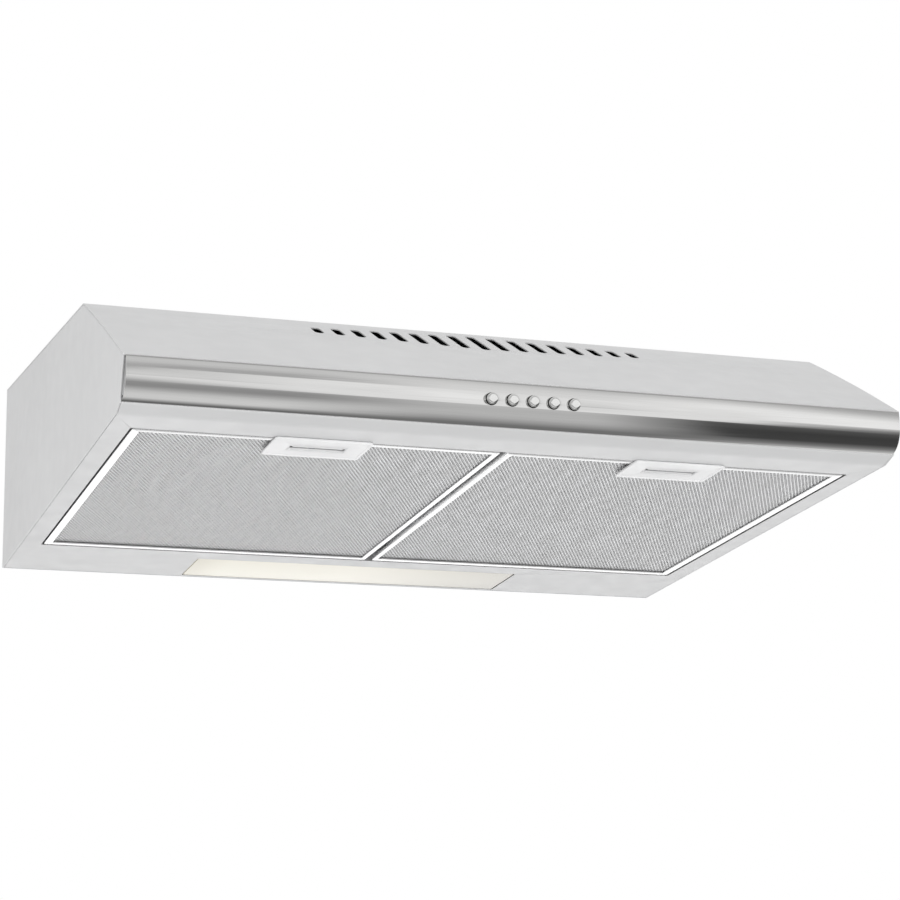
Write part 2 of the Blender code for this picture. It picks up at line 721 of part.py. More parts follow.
def blower_fixings(rubber, steel):
    pieces = []
    for number, place in enumerate(blower_mounts(), 1):
        low, high = SCROLL_TOP_Z + GAP, -SHEET - GAP
        ring = [(0.0023, low), (0.0065, low), (0.0065, high), (0.0023, high), (0.0023, low)]
        pieces.append(turned("blower_mount_%d" % number, ring, place, rubber, 16))
        head = SCROLL_TOP_Z - SCROLL_WALL - GAP
        screw = [
            (0.0034, head - 0.0022), (0.0040, head - 0.0014), (0.0040, head),
            (0.0019, head), (0.0019, high),
        ]
        pieces.append(turned("blower_screw_%d" % number, screw, place, steel, 16))
    return pieces


def scroll_inlet_plate(plastic):
    top = SCROLL_FOOT_Z - GAP
    outline = scroll_outline(SCROLL_WALL)
    plate = loft("scroll_inlet_plate", [at_z(outline, top - 0.0015), at_z(outline, top)], plastic)
    cut(plate, turned("inlet", [(INLET_RADIUS, -0.2), (INLET_RADIUS, 0)], BLOWER, plastic, 40))
    return plate


def inlet_guard(steel):
    """A finger guard: an outer ring, two inner rings and two bars."""
    top = SCROLL_FOOT_Z - 2 * GAP - 0.0015
    low = top - 0.0015
    rings = []
    for inner, outer in GUARD_RINGS:
        section = [(inner, low), (outer, low), (outer, top), (inner, top), (inner, low)]
        rings.append(turned("guard_ring", section, BLOWER, steel, 36))
    guard = rings[0]
    guard.name = "inlet_guard"
    for turn in (0, 90):
        reach, half = GUARD_RINGS[0][0] + 0.001, 0.0015
        bar = block("bar", (-reach, -half, low), (reach, half, top), steel)
        turned_by = Matrix.Rotation(math.radians(turn + 20), 4, "Z")
        bar.matrix_world = Matrix.Translation(BLOWER_ORIGIN) @ turned_by
        weld(guard, bar)
    for ring in rings[1:]:
        weld(guard, ring)
    return guard


def motor_pieces(steel, dark_steel, copper):
    """The motor's can, end shield, stator and bearings, and the rotor, shaft and hub nut that turn."""
    top = MOTOR_TOP_Z
    r = MOTOR_RADIUS
    seat = BEARING_RADIUS + GAP
    can = turned("motor_can", [
        (seat, top), (r, top), (r, MOTOR_FOOT_Z), (r - 0.002, MOTOR_FOOT_Z), (r - 0.002, top - 0.006),
        (seat, top - 0.006), (seat, top),
    ], BLOWER, steel, 32)
    foot = MOTOR_FOOT_Z - GAP
    shield = turned("motor_end_shield", [
        (seat, foot), (r, foot), (r, foot - 0.002), (0.013, foot - 0.002), (0.013, foot - 0.006),
        (seat, foot - 0.006), (seat, foot),
    ], BLOWER, steel, 32)
    high, low = CORE_Z
    stator = turned("stator", [
        (0.0228, high), (0.0375, high), (0.0375, low), (0.0228, low), (0.0228, high),
    ], BLOWER, copper, 32)
    bore = SHAFT_RADIUS + GAP
    bearings = []
    for name, crown in (("upper_bearing", top - 0.0005), ("lower_bearing", foot - 0.0005)):
        base = crown - 0.005
        outer = BEARING_RADIUS
        section = [(bore, crown), (outer, crown), (outer, base), (bore, base), (bore, crown)]
        bearings.append(turned(name, section, BLOWER, dark_steel, 24))
    rotor = turned("rotor", [
        (bore, high), (0.0222, high), (0.0222, low), (bore, low), (bore, high),
    ], BLOWER, dark_steel, 32)
    shaft = turned("motor_shaft", [(SHAFT_RADIUS, -0.0095), (SHAFT_RADIUS, -0.0812)], BLOWER, steel, 20)
    nut_bore = bore / math.cos(math.pi / 6)  # its six flats clear the shaft
    nut = turned("hub_nut", [
        (nut_bore, -0.0768), (0.0078, -0.0768), (0.0078, -0.0800), (nut_bore, -0.0800), (nut_bore, -0.0768),
    ], BLOWER, steel, 6)
    turning = [move_origin(piece, BLOWER_ORIGIN) for piece in (rotor, shaft, nut)]
    return [can, shield, stator] + bearings + turning


def impeller(plastic):
    """A drum of curved blades between two rings, carried by a disc and a hub."""
    low, high = IMPELLER_Z
    r = IMPELLER_RADIUS
    bore = SHAFT_RADIUS + GAP
    wheel = turned("impeller", [
        (bore, -0.0620), (0.0120, -0.0620), (0.0120, -0.0630), (r - 0.001, -0.0630), (r - 0.001, -0.0650),
        (0.0120, -0.0650), (0.0120, -0.0765), (bore, -0.0765), (bore, -0.0620),
    ], BLOWER, plastic, 48)
    for ring_low in (low, high - 0.0025):
        ring_high = ring_low + 0.0025
        r_in = r - 0.013
        section = [(r_in, ring_low), (r, ring_low), (r, ring_high), (r_in, ring_high), (r_in, ring_low)]
        weld(wheel, turned("ring", section, BLOWER, plastic, 48))
    blades = bmesh.new()
    for index in range(BLADE_COUNT):
        angle = 2 * math.pi * index / BLADE_COUNT
        front, back = [], []
        for i in range(4):
            t = i / 3
            radius = r - 0.0125 + 0.012 * t
            lean = 0.10 * (1 - t) * (1 - t)
            front.append(polar(BLOWER, radius, angle + lean))
            back.append(polar(BLOWER, radius, angle + lean + 0.0010 / radius))
        outline = front + back[::-1]
        rows = [[blades.verts.new(p) for p in at_z(outline, z)] for z in (low + 0.001, high - 0.001)]
        blades.faces.new(rows[0])
        blades.faces.new(rows[1])
        for i in range(len(outline)):
            j = (i + 1) % len(outline)
            blades.faces.new((rows[0][i], rows[0][j], rows[1][j], rows[1][i]))
    weld(wheel, object_from("blades", blades, plastic))
    return move_origin(wheel, BLOWER_ORIGIN)


# ---------------------------------------------------------------- air path

def air_box(steel):
    """A closed box with ports for the blower, the outlet, the front duct and the flap's shaft."""
    low = (BOX_X[0], BOX_Y[0], BOX_Z[0])
    high = (BOX_X[1], BOX_Y[1], BOX_Z[1])
    wall = BOX_WALL
    box = block("air_box", low, high, steel)
    hollow = block("hollow", [v + wall for v in low], [v - wall for v in high], steel)
    port_x, port_low, port_high = FRONT_PORT
    port_near = (-port_x, BOX_Y[0] - 0.01, port_low)
    port_far = (port_x, BOX_Y[0] + 0.01, port_high)
    weld(hollow, block("front_port", port_near, port_far, steel))
    mouth_low = (BOX_X[0] - 0.01, MOUTH_Y[0] + 0.002, SCROLL_FOOT_Z + 0.004)
    mouth_high = (BOX_X[0] + 0.01, MOUTH_Y[1] - 0.002, SCROLL_TOP_Z - 0.008)
    weld(hollow, block("blower_port", mouth_low, mouth_high, steel))
    outlet_port = [(SPIGOT_RADIUS - 0.002, -0.02), (SPIGOT_RADIUS - 0.002, 0.01)]
    weld(hollow, turned("outlet_port", outlet_port, OUTLET, steel, 48))
    shaft_hole = [(0.0025, BOX_X[1] - 0.01), (0.0025, BOX_X[1] + 0.01)]
    weld(hollow, turned("shaft_hole", shaft_hole, FLAP_AXIS, steel, 16, along="X"))
    return cut(box, hollow)


def vent_duct(plastic):
    """A flaring duct from the air box's front port to the vent slots."""
    port_x, port_low, port_high = FRONT_PORT
    rear = rectangle((-port_x, port_low), (port_x, port_high))
    rear_outer = inset(rear, -BOX_WALL)
    y = BOX_Y[0] - GAP
    front = rectangle((-DUCT_FRONT_HALF, DUCT_FRONT_Y[0]), (DUCT_FRONT_HALF, DUCT_FRONT_Y[1]))
    outer, inner = [
        [(px, py, DUCT_FRONT_Z + (py - DUCT_FRONT_Y[0]) * DUCT_FRONT_SLOPE) for px, py in outline]
        for outline in (front, inset(front, BOX_WALL))
    ]
    return loft("vent_duct", [at_y(rear_outer, y), outer, inner, at_y(rear, y)], plastic, ring=True)


def flap_pieces(plastic, steel):
    """The recirculation flap on its shaft, behind the air box's front port, and the lever outside."""
    y, z = FLAP_AXIS
    half = FRONT_PORT[0] - 0.0005
    top = FRONT_PORT[2] + 0.0010
    shaft = [(0.0020, -0.060), (0.0020, BOX_X[1] + 0.0085)]
    flap = turned("recirculation_flap", shaft, FLAP_AXIS, steel, 16, along="X")
    weld(flap, block("plate", (-half, y - 0.0008, z), (half, y + 0.0008, top), steel))
    hub_x = (BOX_X[1] + 0.0010, BOX_X[1] + 0.0075)
    bore, rim = 0.0023, 0.0060
    hub = [(bore, hub_x[0]), (rim, hub_x[0]), (rim, hub_x[1]), (bore, hub_x[1]), (bore, hub_x[0])]
    lever = turned("flap_lever", hub, FLAP_AXIS, plastic, 20, along="X")
    arm_low = (hub_x[0] + 0.001, y - 0.0035, z - 0.0280)
    arm_high = (hub_x[1] - 0.001, y + 0.0035, z - 0.0045)
    weld(lever, block("arm", arm_low, arm_high, plastic))
    pivot = (0.0, y, z)
    return [move_origin(flap, pivot), move_origin(lever, pivot)]


def outlet_pieces(plastic, steel):
    """The duct collar, clamped from beneath, with two damper flaps on one pin."""
    r = SPIGOT_RADIUS
    under = -SHEET - GAP
    inner = r - SPIGOT_WALL
    collar = turned("outlet_collar", [
        (r - 0.006, under - 0.0025), (r + 0.006, under - 0.0025), (r + 0.006, under), (r, under),
        (r, SPIGOT_HEIGHT - 0.001), (r - 0.0008, SPIGOT_HEIGHT), (inner, SPIGOT_HEIGHT),
        (inner, under - 0.0010), (r - 0.006, under - 0.0010), (r - 0.006, under - 0.0025),
    ], OUTLET, plastic, 48)
    reach = r - SPIGOT_WALL / 2
    pin_profile = [(0.0015, OUTLET[1] - reach), (0.0015, OUTLET[1] + reach)]
    for end in (-1, 1):
        y = OUTLET[1] + end * (inner + 0.0005)
        hole = [(0.0018, y - 0.0030), (0.0018, y + 0.0030)]
        cut(collar, turned("pin_hole", hole, (OUTLET[0], DAMPER_Z), plastic, 12, along="Y"))
    pin = turned("damper_pin", pin_profile, (OUTLET[0], DAMPER_Z), steel, 12, along="Y")
    flaps = []
    for side, sign in (("left", -1), ("right", 1)):
        radius = inner - 0.0008
        start = math.asin(DAMPER_PIN_X / radius)
        outline = []
        for i in range(17):
            angle = -math.pi / 2 + start + (math.pi - 2 * start) * i / 16
            x, y = polar((0, OUTLET[1]), radius, angle)
            outline.append((sign * x, y))
        faces = [at_z(outline, DAMPER_Z - 0.0005), at_z(outline, DAMPER_Z + 0.0005)]
        flap = loft("damper_flap_" + side, faces, plastic)
        flaps.append(move_origin(flap, (sign * DAMPER_PIN_X, OUTLET[1], DAMPER_Z)))
    return [collar, pin] + flaps


# ---------------------------------------------------------------- electrics

def electrics(plastic, rubber, grey):
    """The cable's grommet, the terminal box under it, and the motor's capacitor."""
    x, y = CABLE_ENTRY
    top = -SHEET - GAP
    grommet = turned("cable_grommet", [
        (0.0045, -0.0004), (0.0086, -0.0004), (0.0086, top), (0.0125, top), (0.0125, top - 0.0025),
        (0.0045, top - 0.0025), (0.0045, -0.0004),
    ], CABLE_ENTRY, rubber, 20)
    half_x, half_y = TERMINAL_BOX_HALF
    flat = rectangle((x - half_x, y - half_y), (x + half_x, y + half_y))
    box_top = top - 0.0030
    box_foot = box_top - TERMINAL_BOX_HEIGHT
    wall = inset(flat, 0.0018)
    box = loft("terminal_box", [
        at_z(flat, box_top), at_z(flat, box_foot), at_z(wall, box_foot), at_z(wall, box_top - 0.0018),
    ], plastic)
    cut(box, turned("cable_way", [(0.0060, -0.02), (0.0060, 0)], CABLE_ENTRY, plastic, 20))
    cover_top = box_foot - GAP
    cover = loft("terminal_cover", [
        at_z(flat, cover_top), at_z(flat, cover_top - 0.0010),
        at_z(inset(flat, 0.0012), cover_top - 0.0022),
    ], plastic)
    can = turned("capacitor", [
        (0.0125, -0.0060), (0.0135, -0.0070), (0.0135, -0.0440), (0.0125, -0.0450),
    ], CAPACITOR_PLACE, grey, 24)
    return [grommet, box, cover, can]


# ---------------------------------------------------------------- assembly

def build():
    for thing in list(bpy.data.objects):
        bpy.data.objects.remove(thing)
    paint = new_material("painted_steel", (0.66, 0.66, 0.66), 0.35, 0.0)
    polished = new_material("polished_steel", (0.80, 0.79, 0.77), 0.18, 1.0)
    zinc = new_material("galvanised_steel", (0.60, 0.62, 0.64), 0.45, 1.0)
    aluminium = new_material("aluminium", (0.90, 0.91, 0.92), 0.35, 1.0)
    mesh_metal = new_material("aluminium_mesh", (0.62, 0.64, 0.66), 0.50, 1.0)
    pale = new_material("pale_plastic", (0.80, 0.80, 0.79), 0.45, 0.0)
    chrome = new_material("button_chrome", (0.85, 0.85, 0.84), 0.15, 1.0)
    lens = new_material("lens_plastic", (0.95, 0.93, 0.86), 0.40, 0.0)
    black = new_material("black_plastic", (0.04, 0.04, 0.045), 0.50, 0.0)
    rubber = new_material("rubber", (0.03, 0.03, 0.03), 0.80, 0.0)
    dark = new_material("dark_steel", (0.25, 0.26, 0.28), 0.40, 1.0)
    copper = new_material("winding_copper", (0.55, 0.28, 0.14), 0.40, 1.0)
    glass = new_material("lamp_glass", (0.95, 0.95, 0.92), 0.10, 0.0)

    datum = empty("underside_datum", (0.0, LIP[0], LIP[1]), -UNDERSIDE_TILT)
    canopy_shell(paint)
    side_panel("left", paint)
    side_panel("right", paint)
    back_panel(zinc)
    underside_frame(datum, paint)
    front_strip(polished)
    centre_rail(datum, zinc)
    switch_block(black)
    switch_bracket(zinc)
    for index in range(len(BUTTON_NAMES)):
        push_button(index, chrome)
    for side in ("left", "right"):
        filter_pieces(side, datum, aluminium, mesh_metal, pale, zinc)
    lamp_pieces(datum, lens, zinc, pale, glass)
    scroll_housing(black)
    blower_fixings(rubber, zinc)
    scroll_inlet_plate(black)
    inlet_guard(zinc)
    motor_pieces(zinc, dark, copper)
    impeller(black)
    air_box(zinc)
    vent_duct(black)
    flap_pieces(black, zinc)
    outlet_pieces(black, zinc)
    electrics(black, rubber, pale)


build()
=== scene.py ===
"""Looks for the under cabinet range hood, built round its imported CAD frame."""

import json
import math

import bmesh
import bpy
from mathutils import Matrix, Vector


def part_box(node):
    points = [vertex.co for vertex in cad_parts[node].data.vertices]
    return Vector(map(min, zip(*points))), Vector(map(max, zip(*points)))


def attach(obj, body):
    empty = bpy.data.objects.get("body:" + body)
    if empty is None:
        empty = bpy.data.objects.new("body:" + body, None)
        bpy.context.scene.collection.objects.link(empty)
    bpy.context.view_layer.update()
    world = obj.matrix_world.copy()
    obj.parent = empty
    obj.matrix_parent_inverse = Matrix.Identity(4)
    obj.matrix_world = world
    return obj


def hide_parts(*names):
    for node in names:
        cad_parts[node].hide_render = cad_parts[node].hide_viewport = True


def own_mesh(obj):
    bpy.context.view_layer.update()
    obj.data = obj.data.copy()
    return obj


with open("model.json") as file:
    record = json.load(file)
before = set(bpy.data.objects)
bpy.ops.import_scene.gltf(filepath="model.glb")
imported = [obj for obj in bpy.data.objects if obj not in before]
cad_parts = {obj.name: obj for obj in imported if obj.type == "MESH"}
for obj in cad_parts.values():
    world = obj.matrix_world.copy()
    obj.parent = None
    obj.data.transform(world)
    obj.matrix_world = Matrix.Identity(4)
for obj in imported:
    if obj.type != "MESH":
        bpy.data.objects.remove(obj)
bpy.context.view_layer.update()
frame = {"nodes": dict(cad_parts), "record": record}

# Sizes that the pieces share with the frame
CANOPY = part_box("canopy_shell")
HALF_WIDTH = CANOPY[1].x
WALL_Y = CANOPY[1].y
NOSE_Y = CANOPY[0].y
SHEET = 0.001
GAP = 0.0003
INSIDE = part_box("front_strip")[1].x
REAR_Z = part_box("back_panel")[0].z
SIDES = {"left": -1, "right": 1}

# Side profile, as (y, z)
BEND = (-0.092, 0.0)
BEND_RADIUS = 0.014
NOSE = (NOSE_Y, -0.069)
LIP_TOP = (-0.229, -0.1015)
LIP = (-0.216, -0.107)
SLOPE_BULGE = 0.0012
FRONT_FLANGE = ((-0.2372, -0.0690), (-0.2342, -0.0716), (-0.2300, -0.0965))

# The flange round a side panel: its width, and its distance from the front and from the lip
PANEL_FLANGE = 0.013
PANEL_FRONT = 0.008
PANEL_LIP = 0.004

# The underside's own axes: u runs back from the lip along the slope, w is up and square to it
UNDERSIDE_TILT = math.atan2(LIP[1] - REAR_Z, WALL_Y - LIP[0])
UNDERSIDE_LENGTH = math.hypot(LIP[1] - REAR_Z, WALL_Y - LIP[0])
DATUM = Matrix.Translation((0, *LIP)) @ Matrix.Rotation(-UNDERSIDE_TILT, 4, "X")

# Strip and buttons
STRIP_TOP = (-0.2406, -0.0698)
STRIP_CREASE = (-0.242, -0.084)
STRIP_BELLY = (-0.2405, -0.0965)
STRIP_FOOT = (-0.2298, -0.1010)
STRIP_SHEET = 0.0008
BUTTONS = ("button_off", "button_speed_1", "button_speed_2", "button_speed_3", "button_light")
BUTTON_RADIUS = 0.0042
BUTTON_ROOM = 0.0005
BUTTON_EDGE = (0.0017, 0.0018)  # how wide and how deep the face is rounded
BUTTON_SHOULDER = 0.0058
SHANK_RADIUS = 0.0023
FOOT = (0.0034, 0.0015)  # radius and thickness
SWITCH_WINDOW = ((-0.0403, -0.2365, -0.0935), (0.0403, -0.2255, -0.0724))

# Vents
SLOT_SIDE_COUNT = 8
SLOT_PITCH = 0.016
SLOT_WIDTH = 0.0074
SLOT_MIDDLE_LENGTH = 0.049
SLOT_SHORTENING = 0.0036
SLOT_CENTRE_Y = -0.124

# Filters and latches, on the underside's axes
FILTER_INNER_X = 0.003
FILTER_OUTER_X = 0.280
FILTER_U = (0.0322, 0.372)
FILTER_HEIGHT = 0.009
FILTER_BAND = 0.0065
SEAM_BAND = 0.0042
FILTER_ROOM = 0.0018
FILTER_WALL = 0.001
RIM_ROUNDING = 0.0007
MESH_MARGIN = 0.0013
EDGE_FOLD = 0.008
MESH_CELL = (0.0030, 0.0056)  # pitch across, and along the depth
STRAND = (0.00080, 0.00034)  # width and thickness
STRAND_HEIGHT = 0.00135
PAD_HEIGHTS = (0.0024, 0.0037)
LATCH_X = 0.140
LATCH_PLATE = (0.074, 0.043)
LATCH_PLATE_U = 0.0268
LATCH_RECESS = (0.042, 0.009)
LATCH_RECESS_U = 0.0447
LATCH_FACE = -0.0019
LATCH_BACK = -0.0003
LATCH_RIM = 0.0022
LATCH_WALL = 0.0015
LATCH_BOX_HALF = 0.0295
LATCH_BOX_U = (FILTER_U[0] + 0.0110, FILTER_U[0] + 0.0340)
LATCH_BOX_TOP = 0.0085
SLIDER_HALF = 0.0225
SLIDER_DEPTH = 0.0065
SLIDER_U = LATCH_BOX_U[0] + LATCH_WALL + 0.0005
TONGUE_HALF = 0.008
TONGUE_REACH = 0.0075
SPRING_RADIUS = 0.0019
SPRING_WIRE = 0.00025
SPRING_HEIGHT = 0.0038

# The pocket in the mesh and the padding round a latch's box
POCKET_HALF = 0.0302
POCKET_END = FILTER_U[0] + 0.0346

# Lamp
LENS_HALF_X = 0.143
LENS_U = (0.396, 0.4545)
LENS_ROOM = 0.0010
CAP_LENGTH = 0.0245
BULB_RADIUS = 0.0120

# Outlet
OUTLET = (0.0, 0.100)
SPIGOT_RADIUS = 0.060
SPIGOT_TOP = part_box("outlet_collar")[1].z
SPIGOT_WALL = 0.0015
SPIGOT_FLANGE = 0.006
OUTLET_RADIUS = 0.061
FLAP_ROOM = 0.0008
CABLE_ENTRY = (0.215, 0.190)
CABLE_HOLE_RADIUS = 0.009

# Stage
FLOOR_Z = -1.6
FLOOR_RADIUS = 9.0
SENSOR = 36.0
CAMERA_PLACE = (-0.657, -1.943, -0.455)
CAMERA_YAW = 19.24
CAMERA_PITCH = 8.47
CAMERA_ROLL = 0.11
CAMERA_LENS = 103.2
CAMERA_SHIFT = 0.10
AMBIENT = 0.72

# The studio that gloss sees: (direction round the X axis, grey), where 0 is straight behind, 0.25 below,
# 0.5 in front and 0.75 above. The three sets change over in these two ranges of X.
STUDIO_X = ((0.05, 0.24), (0.44, 0.58))
STUDIO_LEFT = (
    (0.06, 1.45), (0.115, 0.75), (0.15, 0.12), (0.19, 0.18), (0.245, 0.80), (0.29, 0.80), (0.33, 0.72),
    (0.37, 0.52), (0.405, 0.34), (0.44, 0.36), (0.465, 0.62), (0.495, 0.94), (0.545, 0.86), (0.556, 0.68),
    (0.565, 0.40), (0.574, 0.70), (0.582, 0.76), (0.60, 0.44), (0.66, 0.42), (0.72, 0.80), (0.85, 0.90),
)
STUDIO_MIDDLE = (
    (0.06, 1.45), (0.115, 0.85), (0.15, 0.20), (0.21, 0.22), (0.27, 0.42), (0.32, 0.57), (0.36, 0.62),
    (0.42, 0.60), (0.46, 0.66), (0.495, 0.96), (0.53, 1.0), (0.56, 0.92), (0.578, 0.84), (0.60, 0.44),
    (0.66, 0.42), (0.72, 0.80), (0.85, 0.90),
)
STUDIO_RIGHT = (
    (0.06, 1.45), (0.12, 0.85), (0.16, 0.50), (0.20, 0.24), (0.27, 0.07), (0.38, 0.06), (0.44, 0.10),
    (0.478, 0.30), (0.51, 1.0), (0.56, 1.1), (0.578, 1.05), (0.60, 0.50), (0.66, 0.45), (0.72, 0.85),
    (0.85, 0.92),
)

# Soft lights: name, place, where it aims, width and height, watts
LIGHTS = (
    ("key", (-1.9, -2.2, 1.0), (0, 0, -0.05), (1.8, 1.2), 9),
    ("fill", (1.4, -2.0, -0.1), (0, 0, -0.1), (1.4, 1.0), 9),
    ("low", (-0.3, -1.2, -0.58), (0, 0, -0.12), (2.0, 1.0), 6.5),
    ("back", (0.4, 2.2, 1.4), (0, 0, -0.05), (1.6, 1.0), 10),
)


# ---------------------------------------------------------------- outlines

def polar(centre, radius, angle):
    return (centre[0] + radius * math.cos(angle), centre[1] + radius * math.sin(angle))


def circle(centre, radius, count=96):
    return [polar(centre, radius, 2 * math.pi * i / count) for i in range(count)]


def rectangle(low, high):
    return [(low[0], low[1]), (high[0], low[1]), (high[0], high[1]), (low[0], high[1])]


def rounded_rectangle(low, high, radius, steps=6):
    corners = (
        (high[0] - radius, high[1] - radius),
        (low[0] + radius, high[1] - radius),
        (low[0] + radius, low[1] + radius),
        (high[0] - radius, low[1] + radius),
    )
    points = []
    for quarter, centre in enumerate(corners):
        for i in range(steps + 1):
            points.append(polar(centre, radius, (quarter + i / steps) * math.pi / 2))
    return points


def inset_rectangle(low, high, distance, radius, steps=6):
    """A rounded rectangle that is smaller all round by the distance, or larger where it's negative."""
    low = (low[0] + distance, low[1] + distance)
    high = (high[0] - distance, high[1] - distance)
    return rounded_rectangle(low, high, radius, steps)


def rounded_corner(before, corner, after, radius, steps):
    """Points of the arc that rounds a corner of an outline."""
    corner = Vector(corner)
    to_before = (Vector(before) - corner).normalized()
    to_after = (Vector(after) - corner).normalized()
    half = to_before.angle(to_after) / 2
    centre = corner + (to_before + to_after).normalized() * radius / math.sin(half)
    first = corner + to_before * radius / math.tan(half) - centre
    last = corner + to_after * radius / math.tan(half) - centre
    turn = first.angle(last)
    points = []
    for i in range(steps + 1):
        t = i / steps
        arm = (first * math.sin((1 - t) * turn) + last * math.sin(t * turn)) / math.sin(turn)
        points.append(tuple(centre + arm))
    return points


def bowed(start, pull, end, steps):
    """Points after the start, as far as the end, on a curve drawn towards a third point."""
    points = []
    for i in range(1, steps + 1):
        t = i / steps
        weights = ((1 - t) ** 2, 2 * t * (1 - t), t * t)
        places = zip(start, pull, end)
        points.append(tuple(sum(weight * at for weight, at in zip(weights, place)) for place in places))
    return points


def bulged(start, end, bulge, steps):
    """Points between two ends on a shallow curve that stands out to the right, without the ends."""
    start = Vector(start)
    end = Vector(end)
    along = (end - start).normalized()
    outward = Vector((along.y, -along.x))
    return [
        tuple(start.lerp(end, i / steps) + outward * bulge * 4 * i / steps * (1 - i / steps))
        for i in range(1, steps)
    ]


def shifted_lines(points, distances, closed):
    """Moves each edge to its left by its distance, and lets the moved edges meet again."""
    count = len(points)
    edges = count if closed else count - 1
    lines = []
    for i in range(edges):
        start = Vector(points[i])
        along = (Vector(points[(i + 1) % count]) - start).normalized()
        left = Vector((-along.y, along.x))
        lines.append((start + left * distances[i], along))
    moved = []
    for i in range(count):
        before = lines[(i - 1) % edges] if closed or i > 0 else lines[0]
        after = lines[i % edges] if closed or i < edges else lines[-1]
        cross = before[1].x * after[1].y - before[1].y * after[1].x
        if abs(cross) < 1e-6:
            left = Vector((-after[1].y, after[1].x))
            base = Vector(points[i])
            moved.append(tuple(base + left * (after[0] - base).dot(left)))
            continue
        between = after[0] - before[0]
        along_before = (between.x * after[1].y - between.y * after[1].x) / cross
        moved.append(tuple(before[0] + before[1] * along_before))
    return moved


def inset(points, distance):
    """An outline that runs anticlockwise, made smaller all round."""
    return shifted_lines(points, [distance] * len(points), closed=True)


def sheet_outline(path, thickness):
    """The section of a folded sheet: a path, and the same path moved to its left."""
    other = shifted_lines(path, [thickness] * (len(path) - 1), closed=False)
    return list(path) + other[::-1]


def at_x(points, x):
    return [(x, p[0], p[1]) for p in points]


def at_y(points, y):
    return [(p[0], y, p[1]) for p in points]


def at_z(points, z):
    return [(p[0], p[1], z) for p in points]


# ---------------------------------------------------------------- mesh tools

def smooth(mesh):
    """Smooth shading, with edges over 35 degrees kept sharp."""
    mesh.shade_smooth()
    mesh.set_sharp_from_angle(angle=math.radians(35))


def object_from(name, work):
    bmesh.ops.recalc_face_normals(work, faces=work.faces)
    mesh = bpy.data.meshes.new(name)
    work.to_mesh(mesh)
    work.free()
    smooth(mesh)
    thing = bpy.data.objects.new(name, mesh)
    bpy.context.collection.objects.link(thing)
    return thing


def loft(name, loops, ring=False):
    """Joins loops of equally many points. The ends are capped, or a ring's last loop joins its first."""
    work = bmesh.new()
    rows = [[work.verts.new(point) for point in loop] for loop in loops]
    pairs = list(zip(rows, rows[1:]))
    if ring:
        pairs.append((rows[-1], rows[0]))
    else:
        work.faces.new(rows[0])
        work.faces.new(rows[-1])
    count = len(rows[0])
    for lower, upper in pairs:
        for i in range(count):
            j = (i + 1) % count
            work.faces.new((lower[i], lower[j], upper[j], upper[i]))
    return object_from(name, work)


def block(name, low, high):
    flat = rectangle(low[:2], high[:2])
    return loft(name, [at_z(flat, low[2]), at_z(flat, high[2])])


def turned(name, profile, centre, count=96, along="Z"):
    """A turned solid from a profile of (radius, distance along the axis), which may close into a ring."""
    place = {"X": at_x, "Y": at_y, "Z": at_z}[along]
    ring = profile[0] == profile[-1]
    stations = profile[:-1] if ring else profile
    loops = [place(circle(centre, radius, count), distance) for radius, distance in stations]
    return loft(name, loops, ring)


def apply_modifiers(thing):
    bpy.context.view_layer.update()
    graph = bpy.context.evaluated_depsgraph_get()
    result = bpy.data.meshes.new_from_object(thing.evaluated_get(graph))
    old = thing.data
    thing.modifiers.clear()
    thing.data = result
    result.name = thing.name
    bpy.data.meshes.remove(old)


def combine(target, tools, operation):
    """Applies one Boolean for each tool, in turn, and removes the tools."""
    for tool in tools:
        modifier = target.modifiers.new(operation.lower(), "BOOLEAN")
        modifier.operation = operation
        modifier.solver = "EXACT"
        modifier.object = tool
    apply_modifiers(target)
    for tool in tools:
        bpy.data.objects.remove(tool)


def joined(name, things):
    """One object from several, moved into world space."""
    work = bmesh.new()
    for thing in things:
        piece = thing.data.copy()
        piece.transform(thing.matrix_world)
        work.from_mesh(piece)
        bpy.data.meshes.remove(piece)
    for thing in things:
        bpy.data.objects.remove(thing)
    mesh = bpy.data.meshes.new(name)
    work.to_mesh(mesh)
    work.free()
    thing = bpy.data.objects.new(name, mesh)
    bpy.context.collection.objects.link(thing)
    return thing


def bevel(thing, width, segments=2, angle=50):
    """Rounds the sharp edges, and applies it."""
    modifier = thing.modifiers.new("bevel", "BEVEL")
    modifier.width = width
    modifier.segments = segments
    modifier.limit_method = "ANGLE"
    modifier.angle_limit = math.radians(angle)
    apply_modifiers(thing)
    smooth(thing.data)


def finished(thing, material, body, *nodes, on_underside=False):
    """Gives a piece its material, places it, and hides the CAD nodes it stands for."""
    if on_underside:
        thing.data.transform(DATUM)
    thing.data.materials.clear()
    thing.data.materials.append(material)
    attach(thing, body)
    if nodes:
        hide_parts(*nodes)


# ---------------------------------------------------------------- materials

TEXTURE_RANGE = (0.3, 0.7)  # where noise mostly lies


